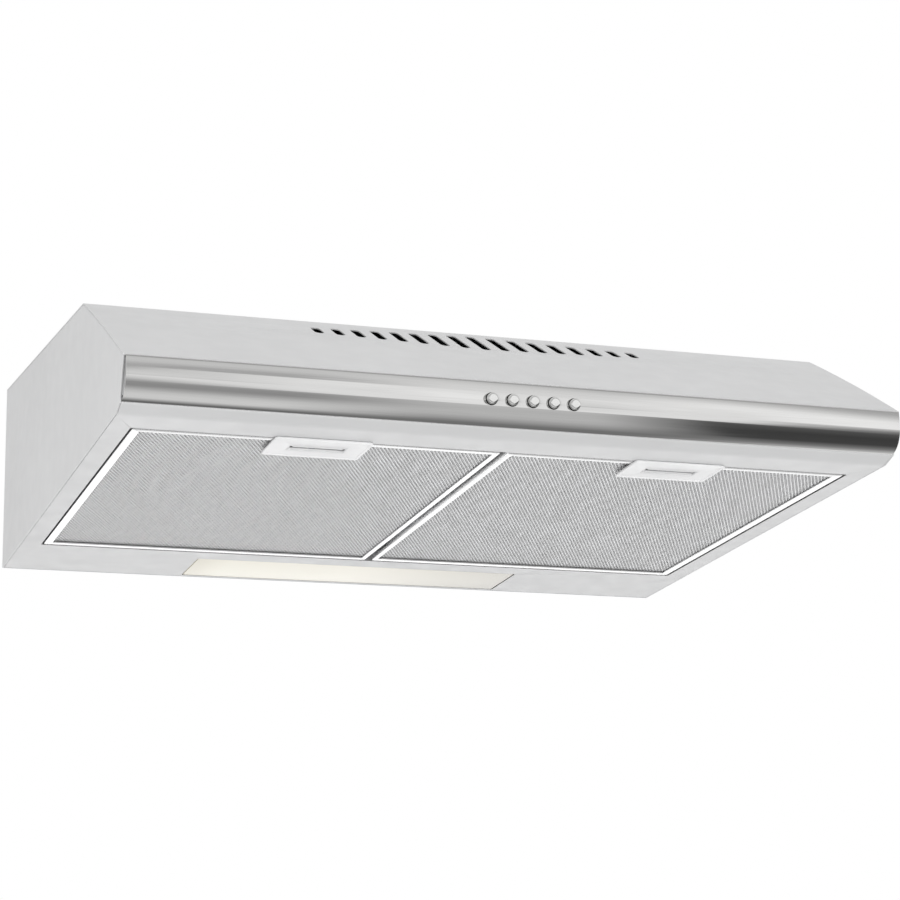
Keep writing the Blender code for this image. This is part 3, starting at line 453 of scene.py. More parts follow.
class Nodes:
    """A material's node tree, with short ways to add a node and to link it."""

    def __init__(self, name, colour, roughness, metallic=0.0):
        self.material = bpy.data.materials.new(name)
        self.material.use_nodes = True
        self.tree = self.material.node_tree
        self.shader = self.tree.nodes["Principled BSDF"]
        self.set("Base Color", (*colour, 1.0))
        self.set("Roughness", roughness)
        self.set("Metallic", metallic)
        self.place = self.add("ShaderNodeTexCoord").outputs["Object"]
        self.colour = colour

    def set(self, socket, value):
        self.shader.inputs[socket].default_value = value

    def add(self, kind, inputs=None, **settings):
        node = self.tree.nodes.new(kind)
        for key, value in settings.items():
            setattr(node, key, value)
        for socket, value in (inputs or {}).items():
            if isinstance(value, bpy.types.NodeSocket):
                self.tree.links.new(value, node.inputs[socket])
            else:
                node.inputs[socket].default_value = value
        return node

    def noise(self, scale, stretch=(1, 1, 1), detail=3.0):
        """Noise over the object, finer where the stretch is larger. The scale is in cells per metre."""
        mapping = self.add("ShaderNodeMapping", {"Vector": self.place, "Scale": stretch})
        inputs = {"Vector": mapping.outputs["Vector"], "Scale": scale, "Detail": detail}
        return self.add("ShaderNodeTexNoise", inputs).outputs["Fac"]

    def spread(self, value, low, high):
        """Maps the middle of a 0 to 1 texture, where it varies, to a range."""
        low_in, high_in = TEXTURE_RANGE
        inputs = {"Value": value, "From Min": low_in, "From Max": high_in, "To Min": low, "To Max": high}
        return self.add("ShaderNodeMapRange", inputs).outputs["Result"]

    def mottle(self, value, dark, light):
        """Varies the base colour between two multiples of itself."""
        node = self.add("ShaderNodeValToRGB", {"Fac": value})
        for stop, position, share in zip(node.color_ramp.elements, TEXTURE_RANGE, (dark, light)):
            stop.position = position
            stop.color = (*[min(1.0, c * share) for c in self.colour], 1.0)
        self.tree.links.new(node.outputs["Color"], self.shader.inputs["Base Color"])
        return self

    def rough(self, value, low, high):
        self.tree.links.new(self.spread(value, low, high), self.shader.inputs["Roughness"])
        return self

    def bump(self, value, height, strength=1.0):
        """A bump of the given height in metres."""
        node = self.add("ShaderNodeBump", {"Height": value, "Distance": height, "Strength": strength})
        before = self.shader.inputs["Normal"].links
        if before:
            self.tree.links.new(before[0].from_socket, node.inputs["Normal"])
        self.tree.links.new(node.outputs["Normal"], self.shader.inputs["Normal"])
        return self


def painted_steel():
    """Silver-grey powder coat: a fine orange peel under a satin sheen."""
    n = Nodes("painted_steel", (0.69, 0.692, 0.695), 0.40, 0.15)
    n.mottle(n.noise(9, detail=4), 0.975, 1.02)
    n.rough(n.noise(60), 0.34, 0.46)
    n.bump(n.noise(700, detail=2), 0.00005, 0.5)
    return n.bump(n.noise(2600, detail=1), 0.00002, 0.35).material


def brushed(name, colour, roughness, stretch, variation=0.06, grain=2400):
    """Rolled or brushed metal, whose grain runs where the stretch is small."""
    n = Nodes(name, colour, roughness, 1.0)
    lines = n.noise(grain, stretch, detail=4)
    n.mottle(lines, 1 - variation, 1 + variation)
    n.rough(lines, roughness * 0.8, roughness * 1.25)
    return n.bump(lines, 0.00001, 0.25).material


def galvanised():
    """Zinc-coated sheet with its spangle."""
    n = Nodes("galvanised_steel", (0.56, 0.58, 0.60), 0.42, 1.0)
    cells = n.add("ShaderNodeTexVoronoi", {"Vector": n.place, "Scale": 190.0}).outputs["Color"]
    grey = n.add("ShaderNodeRGBToBW", {"Color": cells}).outputs["Val"]
    n.mottle(grey, 0.86, 1.10)
    n.rough(grey, 0.34, 0.52)
    return n.bump(n.noise(300), 0.00003, 0.3).material


def moulded(name, colour, roughness, grain=1800):
    """Moulded plastic or rubber with a fine spark-eroded grain."""
    n = Nodes(name, colour, roughness)
    n.mottle(n.noise(30), 0.95, 1.04)
    n.rough(n.noise(220), roughness * 0.88, roughness * 1.12)
    return n.bump(n.noise(grain, detail=2), 0.00003, 0.5).material


def filter_pad():
    """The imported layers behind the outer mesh: crimped foil with lines that run along the depth."""
    n = Nodes("filter_pad", (0.98, 0.982, 0.99), 0.48, 1.0)
    wires = n.noise(420, (1.0, 0.12, 1.0), detail=5)
    n.mottle(wires, 0.62, 1.30)
    n.rough(wires, 0.38, 0.62)
    return n.bump(wires, 0.0006, 0.9).material


def lens_plastic():
    """Frosted lens, lit from within: brightest over the lamp, and fading towards its right end."""
    n = Nodes("lens_plastic", (0.76, 0.742, 0.69), 0.38)
    n.bump(n.noise(900), 0.00005, 0.5)
    across = n.add("ShaderNodeSeparateXYZ", {"Vector": n.place}).outputs["X"]
    along = n.add("ShaderNodeMapRange", {"Value": across, "From Min": -LENS_HALF_X, "From Max": LENS_HALF_X})
    ramp = n.add("ShaderNodeValToRGB", {"Fac": along.outputs["Result"]})
    stops = ramp.color_ramp.elements
    stops[0].color = (0.55, 0.48, 0.30, 1)
    stops[1].color = (0.05, 0.045, 0.03, 1)
    between = ((0.10, (1.0, 0.96, 0.76)), (0.50, (1.0, 0.95, 0.80)), (0.80, (0.35, 0.32, 0.25)))
    for position, colour in between:
        stops.new(position).color = (*colour, 1)
    n.tree.links.new(ramp.outputs["Color"], n.shader.inputs["Emission Color"])
    n.set("Emission Strength", 0.22)
    return n.material


def lamp_glass():
    """Frosted glass, lit from within."""
    n = Nodes("lamp_glass", (0.96, 0.95, 0.90), 0.25)
    n.bump(n.noise(400), 0.00002, 0.3)
    n.set("Emission Color", (1.0, 0.90, 0.66, 1.0))
    n.set("Emission Strength", 1.6)
    return n.material


def winding():
    """Enamelled wire wound round its core."""
    n = Nodes("winding", (0.50, 0.24, 0.11), 0.35, 0.8)
    inputs = {"Vector": n.place, "Scale": 260.0, "Distortion": 1.2}
    wires = n.add("ShaderNodeTexWave", inputs, bands_direction="Z").outputs["Fac"]
    n.mottle(wires, 0.6, 1.25)
    return n.bump(wires, 0.0003, 0.8).material


PAINT = painted_steel()
POLISHED = brushed("polished_steel", (0.72, 0.717, 0.71), 0.10, (0.012, 1, 1), 0.03)
ZINC = galvanised()
BAND_ALONG = brushed("aluminium_band", (0.97, 0.972, 0.975), 0.30, (1, 0.02, 1), 0.03)
MESH = brushed("aluminium_mesh", (0.985, 0.99, 1.0), 0.41, (1, 0.05, 1), 0.10, 240)
PAD = filter_pad()
PALE = moulded("pale_plastic", (0.88, 0.88, 0.885), 0.36)
# A darker and rougher copy of the pale plastic, with a finer grain: painted shade for the lining in the
# latch's tray.
PALE_PAINTED_SHADE = moulded("pale_plastic_painted_shade", (0.82, 0.82, 0.825), 0.50, 1200)
CHROME = brushed("button_chrome", (0.80, 0.80, 0.79), 0.16, (1, 1, 1), 0.02)
LENS = lens_plastic()
BLACK = moulded("black_plastic", (0.022, 0.022, 0.024), 0.42)
RUBBER = moulded("rubber", (0.03, 0.03, 0.03), 0.75, 900)
GROUND = brushed("dark_steel", (0.30, 0.31, 0.33), 0.30, (1, 1, 0.05), 0.05)
COPPER = winding()
GLASS = lamp_glass()

SLOT_MATERIALS = {
    "painted_steel": PAINT,
    "polished_steel": POLISHED,
    "galvanised_steel": ZINC,
    "aluminium": BAND_ALONG,
    "aluminium_mesh": PAD,
    "pale_plastic": PALE,
    "button_chrome": CHROME,
    "lens_plastic": LENS,
    "black_plastic": BLACK,
    "rubber": RUBBER,
    "dark_steel": GROUND,
    "winding_copper": COPPER,
    "lamp_glass": GLASS,
}


def dress_frame():
    """Gives every CAD node the material of its slot."""
    for part in frame["record"]["subparts"]:
        mesh = frame["nodes"][part["node"]].data
        mesh.materials.clear()
        mesh.materials.append(SLOT_MATERIALS[part["material_slot"]])


# ---------------------------------------------------------------- casing

def top_and_slope():
    """The outer line of the top and the slope, from the wall to the nose."""
    corner = rounded_corner((WALL_Y, 0.0), BEND, NOSE, BEND_RADIUS, 14)
    return [(WALL_Y, 0.0)] + corner + bulged(corner[-1], NOSE, SLOPE_BULGE, 16) + [NOSE]


def side_outline(back, top, front, lip, bottom):
    """The hood's side profile, anticlockwise, with each run moved inward by its distance."""
    upper = top_and_slope()
    points = [(WALL_Y, REAR_Z)] + upper + [LIP_TOP, LIP]
    distances = [back] + [top] * (len(upper) - 1) + [front, lip, bottom]
    return shifted_lines(points, distances, closed=True)


def slot_cutter(index):
    """A tool for one vent slot, counted from the middle one, square to the slope."""
    length = SLOT_MIDDLE_LENGTH - SLOT_SHORTENING * abs(index)
    reach = (length - SLOT_WIDTH) / 2
    half = SLOT_WIDTH / 2
    outline = [polar((0, reach), half, math.pi * i / 10) for i in range(11)]
    outline += [polar((0, -reach), half, math.pi + math.pi * i / 10) for i in range(11)]
    tool = loft("slot_cutter", [at_z(outline, -0.006), at_z(outline, 0.006)])
    fall = math.atan2(-NOSE[1], BEND[0] - NOSE[0])
    centre_z = -(BEND[0] - SLOT_CENTRE_Y) * math.tan(fall)
    place = Matrix.Translation((index * SLOT_PITCH, SLOT_CENTRE_Y, centre_z))
    tool.matrix_world = place @ Matrix.Rotation(fall, 4, "X")
    return tool


def canopy():
    """The sheet of the top and the slope, with its slots, outlet and cable hole."""
    outline = sheet_outline(top_and_slope(), SHEET)
    shell = loft("canopy", [at_x(outline, -HALF_WIDTH), at_x(outline, HALF_WIDTH)])
    flange = sheet_outline(FRONT_FLANGE, SHEET)
    combine(shell, [loft("front_flange", [at_x(flange, -INSIDE), at_x(flange, INSIDE)])], "UNION")
    cutters = [slot_cutter(i) for i in range(-SLOT_SIDE_COUNT, SLOT_SIDE_COUNT + 1)]
    cutters.append(block("window", *SWITCH_WINDOW))
    cutters.append(turned("outlet", [(OUTLET_RADIUS, -0.01), (OUTLET_RADIUS, 0.01)], OUTLET))
    cable_hole = [(CABLE_HOLE_RADIUS, -0.01), (CABLE_HOLE_RADIUS, 0.01)]
    cutters.append(turned("cable_hole", cable_hole, CABLE_ENTRY, 40))
    combine(shell, [joined("openings", cutters)], "DIFFERENCE")
    bevel(shell, 0.00022)
    finished(shell, PAINT, "hood", "canopy_shell")


def side_panel(side):
    """A plate with a flange folded inward all round its edge, and a rounded fold at the front."""
    sign = SIDES[side]
    under = SHEET + GAP

    def flange(depth):
        """The flange's outline at a depth inside its sheet."""
        back = under + depth
        return side_outline(back, back + 0.0002, PANEL_FRONT + depth, PANEL_LIP + depth, back + 0.0001)

    plate = side_outline(0, under, 0, 0, 0)
    plate_x = sign * (HALF_WIDTH - SHEET)
    edge_x = sign * (HALF_WIDTH - PANEL_FLANGE)
    panel = loft("side_" + side, [
        at_x(plate, sign * HALF_WIDTH), at_x(plate, plate_x),
        at_x(flange(0), plate_x), at_x(flange(0), edge_x),
        at_x(flange(SHEET), edge_x), at_x(flange(SHEET), plate_x),
    ])
    bevel(panel, 0.00035, segments=3)
    finished(panel, PAINT, "hood", "side_panel_" + side)


def folded_edge(low, high):
    """The upturned edge of an opening in the underside."""
    inner = rounded_rectangle(low, high, 0.0015, 4)
    outer = inset_rectangle(low, high, -SHEET, 0.0025, 4)
    loops = [at_z(outer, 0), at_z(outer, EDGE_FOLD), at_z(inner, EDGE_FOLD), at_z(inner, 0)]
    return loft("fold", loops, ring=True)


def hole_cutter(low, high):
    """A tool for an opening in the underside, whose edge lies within the fold's thickness."""
    outline = inset_rectangle(low, high, -SHEET / 2, 0.002, 4)
    return loft("hole", [at_z(outline, -0.01), at_z(outline, 0.01)])


def opening(half_width, reach, room):
    """Opposite corners of an opening that leaves room round a part."""
    return (-half_width - room, reach[0] - room), (half_width + room, reach[1] + room)


def underside():
    """The underside sheet, from its upright flange behind the strip, round the lip, to the wall."""
    turn = math.atan2(LIP_TOP[1] - LIP[1], LIP[0] - LIP_TOP[0]) - UNDERSIDE_TILT
    run = math.hypot(LIP_TOP[1] - LIP[1], LIP[0] - LIP_TOP[0])
    lip_top = (-run * math.cos(turn), run * math.sin(turn))
    upright = (lip_top[0] + 0.0020, lip_top[1] + 0.0085)
    end = (UNDERSIDE_LENGTH - SHEET - GAP, 0.0)
    path = [upright] + rounded_corner(upright, lip_top, (0, 0), 0.0012, 6)
    path += rounded_corner(lip_top, (0.0, 0.0), end, 0.030, 12) + [end]
    outline = sheet_outline(path, SHEET)
    sheet = loft("underside", [at_x(outline, -INSIDE), at_x(outline, INSIDE)])
    filters = opening(FILTER_OUTER_X, FILTER_U, FILTER_ROOM)
    lens = opening(LENS_HALF_X, LENS_U, LENS_ROOM)
    combine(sheet, [joined("holes", [hole_cutter(*filters), hole_cutter(*lens)])], "DIFFERENCE")
    combine(sheet, [joined("folds", [folded_edge(*filters), folded_edge(*lens)])], "UNION")
    windows = []
    for x in (-LATCH_X, LATCH_X):
        low = (x - 0.010, FILTER_U[0] - 0.008, 0.0016)
        high = (x + 0.010, FILTER_U[0] - 0.0009, 0.0056)
        windows.append(block("window", low, high))
    combine(sheet, [joined("windows", windows)], "DIFFERENCE")
    bevel(sheet, 0.0003)
    finished(sheet, PAINT, "hood", "underside_frame", on_underside=True)


def button_centre(name):
    """Where a button stands on the strip, as (x, z)."""
    low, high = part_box(name)
    return ((low.x + high.x) / 2, (low.z + high.z) / 2)


def strip():
    """The polished strip, with a small radius at its crease and a fine edge round each button hole."""
    belly = bowed(STRIP_CREASE, STRIP_BELLY, STRIP_FOOT, 26)
    crease = rounded_corner(STRIP_TOP, STRIP_CREASE, belly[0], 0.0025, 5)
    fold = (STRIP_TOP[0] + 0.0028, STRIP_TOP[1] - 0.0006)
    top = rounded_corner(fold, STRIP_TOP, STRIP_CREASE, 0.0004, 4)
    face = bulged(top[-1], crease[0], 0.00025, 12)
    path = [fold] + top + face + crease + belly[1:]
    outline = sheet_outline(path, STRIP_SHEET)
    band = loft("strip", [at_x(outline, -INSIDE), at_x(outline, INSIDE)])
    radius = BUTTON_RADIUS + BUTTON_ROOM
    bore = [(radius, -0.250), (radius, -0.2362)]
    holes = [turned("hole", bore, button_centre(name), 48, "Y") for name in BUTTONS]
    combine(band, [joined("holes", holes)], "DIFFERENCE")
    bevel(band, 0.00018)
    finished(band, POLISHED, "hood", "front_strip")


def button(name):
    """A metallised button: a small flat face with a well rounded edge, on a plain shank."""
    low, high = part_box(name)
    front = low.y
    across, deep = BUTTON_EDGE
    face = BUTTON_RADIUS - across
    profile = [(0.0002, front + 0.00010), (face * 0.7, front + 0.00004)]
    for i in range(13):
        angle = math.pi / 2 * i / 12
        profile.append((face + across * math.sin(angle), front + deep - deep * math.cos(angle)))
    shoulder = front + BUTTON_SHOULDER
    foot = high.y - FOOT[1]
    profile += [(BUTTON_RADIUS, shoulder), (SHANK_RADIUS, shoulder), (SHANK_RADIUS, foot)]
    profile += [(FOOT[0], foot), (FOOT[0], high.y)]
    finished(turned("face_" + name, profile, button_centre(name), 64, "Y"), CHROME, name, name)


# ---------------------------------------------------------------- filters

def filter_corners(side, margin=0.0):
    """Opposite corners of a filter, moved inward by a margin."""
    low_x, high_x = sorted((SIDES[side] * FILTER_INNER_X, SIDES[side] * FILTER_OUTER_X))
    return (low_x + margin, FILTER_U[0] + margin), (high_x - margin, FILTER_U[1] - margin)


def filter_frame(side):
    """A rolled aluminium channel, mitred at its corners."""
    low, high = filter_corners(side)

    def edge(distance, seam=None):
        """The outline moved in by the distance, and by another one along the seam between the filters."""
        ends = (distance if seam is None else seam, distance)[::SIDES[side]]
        return rounded_rectangle(
            (low[0] + ends[0], low[1] + distance), (high[0] - ends[1], high[1] - distance),
            max(0.0025 - distance, 0.0004), 5,
        )

    top = FILTER_HEIGHT
    wall = FILTER_WALL
    rounding = RIM_ROUNDING
    hem = 0.0003
    loops = [
        at_z(edge(rounding), 0), at_z(edge(rounding * 0.3), rounding * 0.3),
        at_z(edge(0), rounding), at_z(edge(0), top - rounding),
        at_z(edge(rounding), top), at_z(edge(FILTER_BAND), top),
        at_z(edge(FILTER_BAND), top - wall), at_z(edge(wall), top - wall),
        at_z(edge(wall), wall), at_z(edge(FILTER_BAND, SEAM_BAND), wall),
        at_z(edge(FILTER_BAND, SEAM_BAND), hem), at_z(edge(FILTER_BAND - hem, SEAM_BAND - hem), 0),
    ]
    ring = loft("filter_rim_" + side, loops, ring=True)
    x = SIDES[side] * LATCH_X
    slot_low = (x - 0.0095, FILTER_U[0] - 0.002, 0.0016)
    slot_high = (x + 0.0095, FILTER_U[0] + 0.002, 0.0050)
    cutters = [block("slot", slot_low, slot_high)]
    centre = Vector(((low[0] + high[0]) / 2, (low[1] + high[1]) / 2))
    for corner in rectangle(low, high):
        inward = centre - Vector(corner)
        angle = math.atan2(math.copysign(1, inward.y), math.copysign(1, inward.x))
        groove = block("mitre", (0.001, -0.00012, -0.0003), (FILTER_BAND * 1.35, 0.00012, 0.00025))
        groove.matrix_world = Matrix.Translation((*corner, 0)) @ Matrix.Rotation(angle, 4, "Z")
        cutters.append(groove)
    combine(ring, [joined("cuts", cutters)], "DIFFERENCE")
    smooth(ring.data)
    finished(ring, BAND_ALONG, "filter_" + side, "filter_frame_" + side, on_underside=True)


def ribbon(vertices, faces, points, width, low, high):
    """Adds a flat closed strand along points in the plane, with its width across the line."""
    base = len(vertices)
    half = width / 2
    for i, (x, u) in enumerate(points):
        lift = (high - low) * 0.35 * (i % 2)
        for dx, z in ((-half, low), (half, low), (half, high), (-half, high)):
            vertices.append((x + dx, u, z + lift))
    for i in range(len(points) - 1):
        for k in range(4):
            a = base + 4 * i + k
            b = base + 4 * i + (k + 1) % 4
            faces.append((a, a + 4, b + 4, b))
    faces.append((base, base + 1, base + 2, base + 3))
    last = base + 4 * (len(points) - 1)
    faces.append((last + 3, last + 2, last + 1, last))


def filter_mesh(side):
    """The outer expanded mesh of a filter, as zigzag strands that meet at their knots."""
    low, high = filter_corners(side, MESH_MARGIN)
    across, along = MESH_CELL
    columns = int((high[0] - low[0] - across / 2) / (across / 2))
    rows = int((high[1] - low[1]) / (along / 2))
    vertices = []
    faces = []
    for k in range(columns + 1):
        x = low[0] + across / 4 + 0.0003 + k * across / 2
        in_pocket = abs(x - SIDES[side] * LATCH_X) < POCKET_HALF + across / 4
        start = POCKET_END if in_pocket else low[1]
        first = math.ceil((start - low[1]) / (along / 2))
        points = []
        for j in range(first, rows + 1):
            points.append((x + across / 4 * (-1) ** (j + k), low[1] + j * along / 2))
        height = STRAND_HEIGHT + 0.00006 * (k % 2)
        ribbon(vertices, faces, points, STRAND[0], height, height + STRAND[1])
    mesh = bpy.data.meshes.new("mesh_" + side)
    mesh.from_pydata(vertices, [], faces)
    mesh.update()
    thing = bpy.data.objects.new("mesh_" + side, mesh)
    bpy.context.collection.objects.link(thing)
    finished(thing, MESH, "filter_" + side, "filter_mesh_" + side, on_underside=True)


def padding(side):
    """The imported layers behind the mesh, with a pocket for the latch's box."""
    low, high = filter_corners(side, MESH_MARGIN)
    pocket = (SIDES[side] * LATCH_X - POCKET_HALF, SIDES[side] * LATCH_X + POCKET_HALF)
    outline = [
        low, (pocket[0], low[1]), (pocket[0], POCKET_END), (pocket[1], POCKET_END), (pocket[1], low[1]),
        (high[0], low[1]), high, (low[0], high[1]),
    ]
    pad = loft("pad_" + side, [at_z(outline, height) for height in PAD_HEIGHTS])
    finished(pad, PAD, "filter_" + side, on_underside=True)


def latch_plate(side):
    """The latch's plate with its rim, tray and finger recess, the box behind it, and a thin lining in the
    tray, in a darker copy of the plastic that paints shade into the tray.
    """
    x = SIDES[side] * LATCH_X
    low = (x - LATCH_PLATE[0] / 2, LATCH_PLATE_U)
    high = (x + LATCH_PLATE[0] / 2, LATCH_PLATE_U + LATCH_PLATE[1])
    outline = rounded_rectangle(low, high, 0.0030)
    plate = loft("latch_plate_" + side, [
        at_z(inset_rectangle(low, high, LATCH_RIM + 0.0004, 0.0015), LATCH_FACE + 0.0005),
        at_z(inset_rectangle(low, high, LATCH_RIM, 0.0018), LATCH_FACE),
        at_z(inset_rectangle(low, high, 0.0004, 0.0027), LATCH_FACE),
        at_z(outline, LATCH_FACE + 0.0004),
        at_z(outline, LATCH_BACK),
    ])
    cup = rectangle((x - LATCH_BOX_HALF, LATCH_BOX_U[0]), (x + LATCH_BOX_HALF, LATCH_BOX_U[1]))
    inside = inset(cup, LATCH_WALL)
    walls = [at_z(cup, -0.001), at_z(cup, LATCH_BOX_TOP), at_z(inside, LATCH_BOX_TOP), at_z(inside, -0.001)]
    left = x - LATCH_RECESS[0] / 2
    right = x + LATCH_RECESS[0] / 2
    end = LATCH_RECESS_U + LATCH_RECESS[1]
    curtain = block("curtain", (left, end - 0.0005, -0.0010), (right, end + 0.0012, 0.0003))
    combine(plate, [loft("box", walls, ring=True), curtain], "UNION")

    tray = rounded_rectangle((left - 0.001, end - 0.0125), (right + 0.001, end + 0.0035), 0.0020)
    combine(plate, [loft("tray", [at_z(tray, -0.01), at_z(tray, LATCH_FACE + 0.0009)])], "DIFFERENCE")
    recess = rounded_rectangle((left, LATCH_RECESS_U), (right, end), 0.0012)
    hole = loft("recess", [at_z(recess, -0.01), at_z(recess, 0.0005)])
    gate_u = LATCH_BOX_U[0]
    gate = block("gate", (x - 0.009, gate_u - 0.001, 0.0017), (x + 0.009, gate_u + 0.0025, 0.02))
    combine(plate, [joined("openings", [hole, gate])], "DIFFERENCE")
    bevel(plate, 0.00025, angle=60)
    finished(plate, PALE, "filter_" + side, "latch_housing_" + side, on_underside=True)

    # The lining is a thin sheet in the darker copy of the pale plastic, which paints shade into the tray.
    lining = inset(tray, 0.0002)
    tray_shade_lining = loft("latch_tray_painted_shade_" + side, [at_z(lining, LATCH_FACE + 0.0004), at_z(lining, LATCH_FACE + 0.0008)])
    clear = inset(recess, -0.0002)
    combine(tray_shade_lining, [loft("painted_shade_hole", [at_z(clear, -0.01), at_z(clear, 0.01)])], "DIFFERENCE")
    finished(tray_shade_lining, PALE_PAINTED_SHADE, "filter_" + side, on_underside=True)


def latch_slider(side):
    """The slider behind the plate, with a lip for the finger, ribs behind the lip, and a tongue."""
    x = SIDES[side] * LATCH_X
    start = SLIDER_U
    end = SLIDER_U + SLIDER_DEPTH
    slider = block("slider_" + side, (x - SLIDER_HALF, start, 0.0007), (x + SLIDER_HALF, end, 0.0070))
    tongue_low = (x - TONGUE_HALF, FILTER_U[0] - TONGUE_REACH, 0.0022)
    tongue_high = (x + TONGUE_HALF, start + 0.002, 0.0044)
    lip = block("lip", (x - 0.019, start + 0.0004, -0.0012), (x + 0.019, start + 0.0022, 0.0010))
    tools = [block("tongue", tongue_low, tongue_high), lip]
    for i in range(10):
        left = x - 0.020 + i * 0.004
        tools.append(block("rib", (left, start + 0.0004, 0.00045), (left + 0.0015, start + 0.0055, 0.0010)))
    combine(slider, tools, "UNION")
    bevel(slider, 0.0002)
    finished(slider, PALE, "latch_" + side, "latch_slider_" + side, on_underside=True)


def latch_spring(side):
    """The slider's return spring, wound as a fine helix."""
    low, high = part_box("latch_spring_" + side)
    centre_x = (low.x + high.x) / 2
    start = SLIDER_U + SLIDER_DEPTH + 0.0006
    end = LATCH_BOX_U[1] - LATCH_WALL - 0.0006
    turns = 7
    around = 24
    section = 8
    rows = []
    for i in range(turns * around + 1):
        angle = 2 * math.pi * i / around
        y = start + (end - start) * i / (turns * around)
        loop = []
        for k in range(section):
            turn = 2 * math.pi * k / section
            out = SPRING_RADIUS + SPRING_WIRE * math.cos(turn)
            x = centre_x + out * math.cos(angle)
            z = SPRING_HEIGHT + out * math.sin(angle)
            loop.append((x, y + SPRING_WIRE * math.sin(turn), z))
        rows.append(loop)
    spring = loft("coil_" + side, rows)
    finished(spring, ZINC, "filter_" + side, "latch_spring_" + side, on_underside=True)
    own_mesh(spring)


# ---------------------------------------------------------------- lamp and outlet

def lamp_cover():
    """A shallow tray with rounded outer edges, open above."""

    def edge(distance):
        low = (-LENS_HALF_X, LENS_U[0])
        high = (LENS_HALF_X, LENS_U[1])
        return inset_rectangle(low, high, distance, max(0.0022 - distance, 0.0005), 5)

    cover = loft("lens", [
        at_z(edge(0.0006), 0.0), at_z(edge(0.00018), 0.00018),
        at_z(edge(0), 0.0006), at_z(edge(0), 0.0058),
        at_z(edge(0.0002), 0.0060), at_z(edge(0.0013), 0.0060),
        at_z(edge(0.0015), 0.0058), at_z(edge(0.0015), 0.0020),
    ])
    finished(cover, LENS, "lamp_cover", "lamp_cover", on_underside=True)


def bulb():
    """A candle-shaped bulb with its threaded cap in the holder."""
    low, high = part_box("lamp_bulb")
    centre = ((low.y + high.y) / 2, (low.z + high.z) / 2)
    start = low.x
    cap = [(0.0095, start)]
    for i in range(40):
        cap.append((0.0097 + 0.0006 * math.sin(2 * math.pi * i / 8), start + 0.001 + 0.023 * i / 39))
    base = turned("bulb_cap", cap + [(0.0098, start + CAP_LENGTH)], centre, 48, "X")
    finished(base, ZINC, "hood")
    neck = start + CAP_LENGTH + 0.0005
    glass = [(0.0096, neck)]
    for i in range(1, 25):
        t = i / 24
        radius = BULB_RADIUS * math.sin(math.pi * min(1.0, 0.32 + 0.68 * t)) ** 0.55
        glass.append((max(radius, 0.0004), neck + (high.x - neck) * t))
    finished(turned("bulb_glass", glass, centre, 48, "X"), GLASS, "hood", "lamp_bulb")


def collar():
    """The outlet's spigot with its beaded rim, its flange under the top, and the holes for its pin."""
    r = SPIGOT_RADIUS
    inner = r - SPIGOT_WALL
    narrow = r - SPIGOT_FLANGE
    wide = r + SPIGOT_FLANGE
    under = -SHEET - GAP
    flange_z = under - 0.0025
    profile = [(narrow, flange_z), (wide, flange_z), (wide, under), (r, under)]
    bead_z = SPIGOT_TOP - 0.0060
    for i in range(9):
        angle = math.pi * i / 8
        profile.append((r + 0.0007 * math.sin(angle) - 0.0001, bead_z - 0.0012 * math.cos(angle)))
    profile += [
        (r - 0.0002, SPIGOT_TOP - 0.0012), (r - 0.0006, SPIGOT_TOP - 0.0002), (r - 0.0009, SPIGOT_TOP),
        (inner, SPIGOT_TOP), (inner, under - 0.0010), (narrow, under - 0.0010), (narrow, flange_z),
    ]
    ring = turned("collar", profile, OUTLET, 128)
    low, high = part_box("damper_pin")
    centre = (OUTLET[0], (low.z + high.z) / 2)
    holes = []
    for y in (low.y, high.y):
        holes.append(turned("pin_hole", [(0.0018, y - 0.0035), (0.0018, y + 0.0035)], centre, 24, "Y"))
    combine(ring, [joined("holes", holes)], "DIFFERENCE")
    smooth(ring.data)
    finished(ring, BLACK, "hood", "outlet_collar")


def damper(side):
    """Half of the backdraught damper: a thin plate with two ribs, and its barrel along the pin."""
    sign = SIDES[side]
    low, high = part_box("damper_flap_" + side)
    plane = (low.z + high.z) / 2
    radius = SPIGOT_RADIUS - SPIGOT_WALL - FLAP_ROOM
    start = math.asin(0.0030 / radius)
    arc = []
    for i in range(41):
        angle = -math.pi / 2 + start + (math.pi - 2 * start) * i / 40
        x, y = polar((0, OUTLET[1]), radius, angle)
        arc.append((sign * x, y))
    flap = loft("flap_" + side, [at_z(arc, plane - 0.0005), at_z(arc, plane + 0.0005)])
    ribs = []
    for x, reach in ((0.018, 0.050), (0.034, 0.042)):
        rib_low = (sign * x - 0.0006, OUTLET[1] - reach, plane)
        rib_high = (sign * x + 0.0006, OUTLET[1] + reach, plane + 0.0016)
        ribs.append(block("rib", rib_low, rib_high))
    span = (OUTLET[1] - 0.046, OUTLET[1] + 0.046)
    ribs.append(turned("barrel", [(0.0011, span[0]), (0.0011, span[1])], (sign * 0.0032, plane), 24, "Y"))
    combine(flap, ribs, "UNION")
    bevel(flap, 0.00015, angle=60)
    finished(flap, BLACK, "damper_" + side, "damper_flap_" + side)


def grommet():
    """The rubber ring in the cable's hole, with a lip under the top."""
    top = -SHEET - GAP
    profile = [
        (0.0045, top - 0.0020), (0.0045, -0.0009), (0.0050, -0.0004), (0.0082, -0.0004), (0.0086, -0.0008),
        (0.0086, top), (0.0120, top), (0.0125, top - 0.0005), (0.0125, top - 0.0020), (0.0120, top - 0.0025),
        (0.0050, top - 0.0025), (0.0045, top - 0.0020),
    ]
    finished(turned("grommet", profile, CABLE_ENTRY, 64), RUBBER, "hood", "cable_grommet")


# ---------------------------------------------------------------- studio

def band_ramp(tree, around, bands):
    """A ramp of greys by direction round the X axis, from one of the studio's sets."""
    ramp = tree.nodes.new("ShaderNodeValToRGB")
    tree.links.new(around, ramp.inputs["Fac"])
    stops = ramp.color_ramp.elements
    for stop, (position, grey) in zip(stops, (bands[0], bands[-1])):
        stop.position = position
        stop.color = (grey, grey, grey, 1)
    for position, grey in bands[1:-1]:
        stops.new(position).color = (grey, grey, grey, 1)
    return ramp.outputs["Color"]


